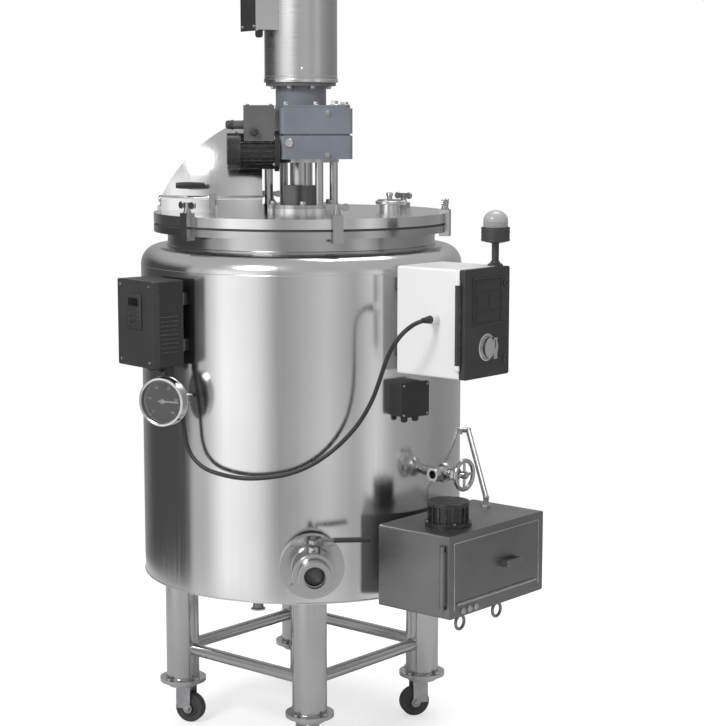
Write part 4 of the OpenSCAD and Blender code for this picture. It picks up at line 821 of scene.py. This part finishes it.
# %% Inverter keypad and fins
INVERTER_FACE = 0.532
form = bmesh.new()
tile(form, (0.006, 0.062, 0.086), 0.0025, (INVERTER_FACE + 0.002, 0, 1.160), LEFT_TURN, 3)
for row in range(3):
    for column in range(3):
        tile(form, (0.004, 0.013, 0.009), 0.0018,
             (INVERTER_FACE + 0.0055, -0.018 + column * 0.018, 1.127 + row * 0.013), LEFT_TURN)
for k in range(9):
    for side in (-1, 1):
        tile(form, (0.052, 0.0026, 0.0036), 0.0010, (0.482, side * 0.0768, 1.060 + k * 0.011),
             LEFT_TURN, 1)
add_piece("inverter_keypad", form, "grey_plastic")
form = bmesh.new()
tile(form, (0.0016, 0.044, 0.020), 0.0006, (INVERTER_FACE + 0.0052, 0, 1.184), LEFT_TURN)
add_piece("inverter_window", form, "screen_glass")
form = bmesh.new()
corner_screws(form, LEFT_TURN, INVERTER_FACE, (-0.062, 0.062), (1.036, 1.224), 0.0034)
add_piece("inverter_screws", form, "zinc")

# %% [markdown]
# The service box under the cladding holds the heater and the pump. Its door has a folded
# ledge, a thin bright line on three sides, three blank push buttons and a pull. The ledge
# catches a long highlight.

# %% Trim of the service door
SERVICE_FACE = 0.6594
LINE_X = SERVICE_FACE + 0.0004
form = bmesh.new()
tile(form, (0.005, 0.330, 0.006), 0.002, (SERVICE_FACE + 0.0020, -0.010, 0.470), RIGHT_TURN, 3)
tile(form, (0.0016, 0.352, 0.0035), 0.0007, (LINE_X, -0.010, 0.6225), RIGHT_TURN)
for y in (-0.186, 0.166):
    tile(form, (0.0016, 0.0035, 0.165), 0.0007, (LINE_X, y, 0.5395), RIGHT_TURN)
add_piece("service_door_trim", form, "brushed_steel", "lower_door")
form = bmesh.new()
for k in range(3):
    fit(form, turned(((0, 0), (0.0085, 0), (0.0085, 0.0015), (0.0068, 0.0030), (0.0062, 0.0052),
                      (0.0050, 0.0062), (0, 0.0065)), 32),
        on_right(SERVICE_FACE, -0.150 + k * 0.026, 0.450), RIGHT_OUT)
add_piece("service_buttons", form, "zinc", "lower_door")
form = bmesh.new()
corner_screws(form, RIGHT_TURN, 0.6792, (0.0082, 0.0618), (0.5350, 0.5440), 0.0022)
add_piece("pull_screws", form, "zinc", "lower_door")

# %% [markdown]
# The pump motor on the service box is finned. A turned cap with a rolled rim and four foot
# screws finish it, and the lid of the junction box gets its four corner screws.

# %% Pump motor and junction box trim
pump_middle = on_right(0.577, -0.104, 0)
form = bmesh.new()
fit(form, bead(0.0513, 0.0012, 64, 8), (pump_middle.x, pump_middle.y, 0.7015))
fit(form, turned(((0, 0), (0.030, 0), (0.030, 0.0006), (0.0285, 0.0013), (0, 0.0013)), 48),
    (pump_middle.x, pump_middle.y, 0.7035))
add_piece("pump_cap_trim", form, "black_paint")
form = bmesh.new()
for angle in (10, 100, 190, 280):
    spot = pump_middle + polar(0.0535, angle)
    screw(form, (spot.x, spot.y, 0.6535), UP, 0.0032)
JUNCTION_TURN = Matrix.Rotation(math.radians(-56), 4, "Z")
corner_screws(form, JUNCTION_TURN, 0.469, (-0.038, 0.038), (0.905, 0.979), 0.0032)
add_piece("small_box_screws", form, "zinc")
form = bmesh.new()
for y in (-0.018, 0.018):
    gland(form, JUNCTION_TURN @ Vector((0.447, y, 0.900)), DOWN, 0.016)
for y in (0.020, -0.020):
    gland(form, on_left(0.470, y, 1.022), DOWN, 0.018)
gland(form, on_right(0.520, 0.020, 1.011), DOWN, 0.018)
add_piece("box_glands", form, "black_plastic")

# %% [markdown]
# The outlet is a ball valve with a lever. The lever's grip is a dipped plastic sleeve with
# full round ends, the bonnet has a packing nut, and the open end has rings like a thread.

# %% Outlet valve fittings
STEM_Y = -0.5113
OUTLET_Z = 0.539
form = bmesh.new()
tile(form, (0.092, 0.026, 0.0088), 0.0042, (0.094, STEM_Y, 0.6165), segments=4)
add_piece("lever_grip", form, "black_plastic", "outlet_lever")
form = bmesh.new()
fit(form, hexagon(0.024, 0.008), (0, STEM_Y, 0.6088))
fit(form, turned(((0, 0), (0.0088, 0), (0.0088, 0.0010), (0, 0.0010)), 32),
    (0, STEM_Y, 0.6080))
add_piece("lever_nut", form, "zinc", "outlet_lever")
form = bmesh.new()
for y in (-0.5718, -0.5653, -0.5588):
    fit(form, bead(0.0390, 0.0016, 72, 8), (0, y, OUTLET_Z), FRONT)
for y in (-0.4733, -0.5493):
    fit(form, bead(0.0521, 0.0014, 72, 8), (0, y, OUTLET_Z), FRONT)
fit(form, turned(((0.0088, 0), (0.0150, 0), (0.0150, 0.0022), (0.0130, 0.0030), (0.0088, 0.0030),
                  (0.0088, 0)), 40), (0, STEM_Y, 0.5990))
add_piece("valve_rings", form, "brushed_steel")

# %% [markdown]
# The jacket valve is a small globe valve. Its bonnet has a hexagon, its side port a collar,
# and the handwheel a nut over the spokes. The drain under the jacket ends in a ferrule.

# %% Jacket fittings
VALVE_Z = 0.748
form = bmesh.new()
fit(form, hexagon(0.038, 0.010), on_right(0.513, 0, VALVE_Z), RIGHT_OUT)
port_out = RIGHT_TURN @ Vector(FRONT)
fit(form, turned(((0.0172, 0), (0.0205, 0), (0.0205, 0.010), (0.0195, 0.011), (0.0172, 0.011),
                  (0.0172, 0)), 6), on_right(0.483, -0.036, VALVE_Z), port_out)
fit(form, bead(0.0137, 0.0022, 32), on_right(0.4262, 0, VALVE_Z), RIGHT_OUT)
fit(form, turned(((0.0137, 0), (0.0190, 0), (0.0190, 0.003), (0.0160, 0.005), (0.0137, 0.005),
                  (0.0137, 0)), 40), (-0.130, -0.320, 0.3955))
add_piece("jacket_fittings", form, "brushed_steel")
form = bmesh.new()
fit(form, hexagon(0.013, 0.005), on_right(0.5528, 0, VALVE_Z), RIGHT_OUT)
add_piece("handwheel_nut", form, "zinc", "handwheel")

# %% [markdown]
# Each caster has nuts on its axle and a dust cap on both sides of the wheel. The nuts ride
# with the fork and the caps with the wheel. Each wheel stands turned its own way.

# %% Caster trim
# each wheel: x, y and the direction of its axle in degrees
WHEELS = ((0.306334, -0.003820, 100), (0.019053, 0.317, 240), (-0.308061, -0.009298, 245),
          (-0.014141, -0.344853, 320))
WHEEL_Z = 0.040
for number, (x, y, heading) in enumerate(WHEELS, 1):
    axle = polar(1, heading)
    middle = Vector((x, y, WHEEL_Z))
    form = bmesh.new()
    for side in (-1, 1):
        fit(form, hexagon(0.015, 0.0035), middle + axle * side * 0.0268, axle * side)
    add_piece(f"axle_nuts_{number}", form, "zinc", f"fork_{number}")
    form = bmesh.new()
    for side in (-1, 1):
        cap = ((0.0128, 0), (0.0245, 0), (0.0255, 0.0008), (0.0235, 0.0020), (0.0160, 0.0026),
               (0.0128, 0.0016), (0.0128, 0))
        fit(form, turned(cap, 48), middle + axle * side * 0.0138, axle * side)
    add_piece(f"wheel_caps_{number}", form, "grey_plastic", f"wheel_{number}")

# %% [markdown]
# The cladding is rolled from one sheet and closed with a lap at the back. The lap is a thin
# strip with a row of flush rivets, and thin beads run around the sheet at its foot and head.

# %% Lap of the cladding
form = bmesh.new()
tile(form, (0.024, 0.0012, 0.800), 0.0004, (0, 0.4254, 0.845), segments=1)
for k in range(17):
    fit(form, turned(((0, 0), (0.0032, 0), (0.0026, 0.0009), (0, 0.0012)), 16),
        (0, 0.4258, 0.462 + k * 0.048), BACK)
for size, z in ((0.0012, 0.4360), (0.0008, 1.2545)):
    fit(form, bead(0.4252, size, 160, 8), (0, 0, z))
add_piece("cladding_lap", form, "mirror_steel")

# %% [markdown]
# The conduit has a lock nut at each end, and the pin of the hatch hinge shows its heads.

# %% Conduit nuts and hinge pins
form = bmesh.new()
fit(form, hexagon(0.024, 0.006), polar(0.4253, -8, 0.805), polar(1, -8))
fit(form, hexagon(0.028, 0.007), on_right(0.520, 0.130, 0.642))
add_piece("conduit_nuts", form, "zinc")
form = bmesh.new()
hinge_middle = polar(0.382, 135, 1.433)
hinge_line = polar(1, 45)
for side in (-1, 1):
    screw(form, hinge_middle + hinge_line * side * 0.0905, hinge_line * side, 0.0060)
add_piece("hinge_pin_heads", form, "zinc")

# %% [markdown]
# The hatch handle is a moulded grip: a second skin with a swollen middle and rounded ends
# lies over the bar.

# %% Handle grip
grip_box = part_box("hatch_handle")
grip_z = grip_box[1].z - 0.007
grip_y = grip_box[0].y + 0.007
grip_profile = [(0, 0)]
for k in range(13):
    t = k / 12
    grip_profile.append((0.0070 + 0.0022 * math.sin(math.pi * t) ** 0.6, 0.0008 + 0.0744 * t))
grip_profile.append((0, 0.0760))
form = bmesh.new()
fit(form, turned(grip_profile, 32), (grip_box[0].x, grip_y, grip_z), RIGHT)
add_piece("handle_grip", form, "black_plastic", "hatch")

# %% [markdown]
# Three effects are used by many finishes, so each is a node group that is built once:
# the grain that brushing or rolling leaves in metal, a slow mottle between two colours,
# and the wear that shows the bright metal along the edges of painted castings.

# %% Groups of nodes
def effect_group(name, takes, gives):
    """A new shader group with named sockets, and its two end nodes."""
    tree = bpy.data.node_groups.new(name, "ShaderNodeTree")
    for label, kind, value in takes:
        socket = tree.interface.new_socket(label, in_out="INPUT", socket_type="NodeSocket" + kind)
        socket.default_value = value
    for label, kind in gives:
        tree.interface.new_socket(label, in_out="OUTPUT", socket_type="NodeSocket" + kind)
    return tree, tree.nodes.new("NodeGroupInput"), tree.nodes.new("NodeGroupOutput")


grain, takes, gives = effect_group(
    "rolled_grain",
    (("Vector", "Vector", (0, 0, 0)), ("Stretch", "Vector", (1, 1, 1)), ("Scale", "Float", 200),
     ("Smooth", "Float", 0.2), ("Rough", "Float", 0.3)),
    (("Roughness", "Float"), ("Height", "Float")))
stretch = add_node(grain, "ShaderNodeVectorMath", operation="MULTIPLY")
lines = add_node(grain, "ShaderNodeTexNoise", {"Detail": 3})
spread = add_node(grain, "ShaderNodeMapRange", {"From Min": 0.3, "From Max": 0.7})
link_all(grain, (takes, "Vector", stretch, 0), (takes, "Stretch", stretch, 1),
         (stretch, 0, lines, "Vector"), (takes, "Scale", lines, "Scale"),
         (lines, "Fac", spread, "Value"), (takes, "Smooth", spread, "To Min"),
         (takes, "Rough", spread, "To Max"), (spread, "Result", gives, "Roughness"),
         (lines, "Fac", gives, "Height"))

mottle, takes, gives = effect_group(
    "slow_mottle",
    (("Vector", "Vector", (0, 0, 0)), ("Scale", "Float", 6), ("Main", "Color", rgba(1)),
     ("Other", "Color", rgba(0))), (("Color", "Color"),))
cloud = add_node(mottle, "ShaderNodeTexNoise", {"Detail": 5})
cloud_range = add_node(mottle, "ShaderNodeMapRange", {"From Min": 0.35, "From Max": 0.7})
blend = add_node(mottle, "ShaderNodeMix", data_type="RGBA")
link_all(mottle, (takes, "Vector", cloud, "Vector"), (takes, "Scale", cloud, "Scale"),
         (cloud, "Fac", cloud_range, "Value"), (cloud_range, "Result", blend, "Factor"),
         (takes, "Main", blend, "A"), (takes, "Other", blend, "B"),
         (blend, "Result", gives, "Color"))

wear, takes, gives = effect_group(
    "worn_edges", (("Vector", "Vector", (0, 0, 0)), ("Amount", "Float", 0.6)),
    (("Mask", "Float"),))
rounded = add_node(wear, "ShaderNodeBevel", {"Radius": 0.0022}, samples=4)
flat = add_node(wear, "ShaderNodeNewGeometry")
agree = add_node(wear, "ShaderNodeVectorMath", operation="DOT_PRODUCT")
edge = add_node(wear, "ShaderNodeMapRange", {"From Min": 0.98, "From Max": 0.86})
chips = add_node(wear, "ShaderNodeTexNoise", {"Scale": 90})
chip_range = add_node(wear, "ShaderNodeMapRange", {"From Min": 0.45, "From Max": 0.62})
both = add_node(wear, "ShaderNodeMath", operation="MULTIPLY")
scaled = add_node(wear, "ShaderNodeMath", operation="MULTIPLY")
link_all(wear, (rounded, 0, agree, 0), (flat, "Normal", agree, 1), (agree, "Value", edge, "Value"),
         (takes, "Vector", chips, "Vector"), (chips, "Fac", chip_range, "Value"),
         (edge, "Result", both, 0), (chip_range, "Result", both, 1), (both, 0, scaled, 0),
         (takes, "Amount", scaled, 1), (scaled, 0, gives, "Mask"))

# %% [markdown]
# Every finish of the tank is one recipe with its own numbers: a colour that drifts a little,
# a roughness that follows the grain, and a fine relief. Metals have Metallic at 1. Paint and
# plastic have it at 0, and many of them get worn edges that lighten the colour.

# %% Finishes
BARE_GREY = 0.42
COAT_ROUGHNESS = 0.12
RELIEF_DEPTH = 0.001


def place_group(tree, group, vector, values):
    """Puts one effect group into a material, with its coordinates and its values."""
    made = add_node(tree, "ShaderNodeGroup", values, node_tree=group)
    tree.links.new(vector, made.inputs["Vector"])
    return made


def finish(name, main, other, smooth, rough, metallic, stretch, grain_scale, relief, mottle_scale,
           edges=0, coat=0):
    """A procedural material: drifting colour, grain in its roughness and relief, worn edges."""
    made, tree, shader, coords = blank_material(name)
    drift = place_group(tree, mottle, coords,
                        {"Scale": mottle_scale, "Main": rgba(main), "Other": rgba(other)})
    colour = (drift, "Color")
    if edges:
        worn = place_group(tree, wear, coords, {"Amount": edges})
        bare = add_node(tree, "ShaderNodeMix", {"B": rgba(BARE_GREY)}, data_type="RGBA")
        link_all(tree, (worn, "Mask", bare, "Factor"), (*colour, bare, "A"))
        colour = (bare, "Result")
    rolled = place_group(tree, grain, coords, {"Stretch": stretch, "Scale": grain_scale,
                                               "Smooth": smooth, "Rough": rough})
    bump = add_node(tree, "ShaderNodeBump", {"Strength": relief, "Distance": RELIEF_DEPTH})
    link_all(tree, (*colour, shader, "Base Color"), (rolled, "Roughness", shader, "Roughness"),
             (rolled, "Height", bump, "Height"), (bump, "Normal", shader, "Normal"))
    set_inputs(shader, {"Metallic": metallic})
    if coat:
        set_inputs(shader, {"Coat Weight": coat, "Coat Roughness": COAT_ROUGHNESS})
    return made


EVEN = (1, 1, 1)
UPRIGHT = (1, 1, 0.02)
LEVEL = (0.03, 0.03, 1)
# Each row: name, main colour, other colour, smooth and rough ends of the roughness, metallic,
# stretch and scale of the grain, relief, scale of the mottle, worn edges, coat
RECIPES = {
    "mirror_steel": ("polished_steel", 0.78, 0.72, 0.14, 0.20, 1, UPRIGHT, 160, 0.01, 3),
    "brushed_steel": ("brushed_steel", 0.55, 0.48, 0.18, 0.22, 1, LEVEL, 260, 0, 5),
    "dull_steel": ("dull_steel", 0.28, 0.23, 0.34, 0.46, 1, LEVEL, 420, 0.05, 5),
    "bright_panel": ("satin_panel", 0.78, 0.74, 0.30, 0.40, 0, UPRIGHT, 380, 0.03, 4, 0.1, 0.4),
    "motor_steel": ("motor_cover_steel", 0.62, 0.55, 0.26, 0.36, 1, LEVEL, 380, 0.03, 5),
    "zinc": ("zinc_plate", (0.52, 0.53, 0.54), (0.40, 0.40, 0.41), 0.28, 0.46, 1, EVEN, 90, 0.10,
             30),
    "bronze": ("bush_bronze", (0.62, 0.42, 0.20), (0.50, 0.33, 0.15), 0.25, 0.40, 1, LEVEL, 300,
               0.1, 12),
    "wool": ("mineral_wool", (0.62, 0.54, 0.30), (0.50, 0.43, 0.22), 0.9, 1.0, 0, (1, 1, 0.3),
             120, 0.9, 20),
    "gasket_rubber": ("black_gasket", 0.035, 0.05, 0.55, 0.7, 0, EVEN, 500, 0.2, 12),
    "silicone": ("white_silicone", (0.82, 0.82, 0.80), (0.74, 0.74, 0.71), 0.42, 0.55, 0, EVEN,
                 300, 0.1, 10),
    "gear_paint": ("blue_grey_enamel", (0.175, 0.188, 0.218), (0.145, 0.157, 0.185), 0.30, 0.42,
                   0, EVEN, 60, 0.35, 14, 0.5, 0.2),
    "grey_paint": ("grey_enamel", 0.11, 0.09, 0.34, 0.48, 0, EVEN, 80, 0.3, 14, 0.4, 0.1),
    "black_paint": ("black_enamel", 0.016, 0.022, 0.28, 0.44, 0, EVEN, 80, 0.3, 14, 0.35, 0.15),
    "black_plastic": ("black_plastic", 0.016, 0.022, 0.36, 0.5, 0, EVEN, 600, 0.25, 10, 0.15),
    "grey_plastic": ("grey_plastic", 0.042, 0.034, 0.36, 0.5, 0, EVEN, 600, 0.25, 10, 0.15),
    "panel_black": ("charcoal_powder", 0.030, 0.038, 0.40, 0.55, 0, EVEN, 700, 0.35, 10, 0.2),
    "screen_glass": ("screen_glass", 0.006, 0.009, 0.06, 0.10, 0, EVEN, 40, 0, 5, 0, 0.8),
    "lens": ("frosted_lens", (0.36, 0.36, 0.355), (0.31, 0.31, 0.305), 0.22, 0.34, 0, EVEN, 200,
             0.1, 10, 0, 0.3),
    "ptfe": ("scraper_plastic", (0.84, 0.84, 0.82), (0.78, 0.78, 0.75), 0.4, 0.5, 0, EVEN, 200,
             0.1, 10),
    "tread": ("caster_tread", 0.040, 0.065, 0.5, 0.7, 0, EVEN, 260, 0.3, 40),
    "cable_jacket": ("cable_jacket", 0.020, 0.030, 0.42, 0.55, 0, EVEN, 300, 0.15, 20),
    "needle": ("needle_white", 0.62, 0.56, 0.3, 0.4, 0, EVEN, 300, 0.05, 20),
    "dial_dark": ("dial_dark", 0.050, 0.065, 0.4, 0.5, 0, EVEN, 300, 0.05, 10),
    "screen_dim": ("screen_dim", (0.010, 0.011, 0.013), (0.014, 0.015, 0.018), 0.08, 0.12, 0,
                   EVEN, 40, 0, 60, 0, 0.8),
}
FINISHES = {slot: finish(*recipe) for slot, recipe in RECIPES.items()}

FINISHES["clear_glass"], tree, shader, coords = blank_material("clear_glass")
set_inputs(shader, {"Transmission Weight": 1, "IOR": 1.45})
smears = place_group(tree, grain, coords, {"Scale": 30, "Smooth": 0, "Rough": 0.05})
link_all(tree, (smears, "Roughness", shader, "Roughness"))
slot_of = {row["node"]: row["material_slot"] for row in frame["record"]["subparts"]}
for node, piece in nodes.items():
    piece.data.materials.clear()
    piece.data.materials.append(FINISHES[slot_of[node]])
for piece, look in dressed:
    piece.data.materials.append(FINISHES[look])
print("finishes:", len(FINISHES))
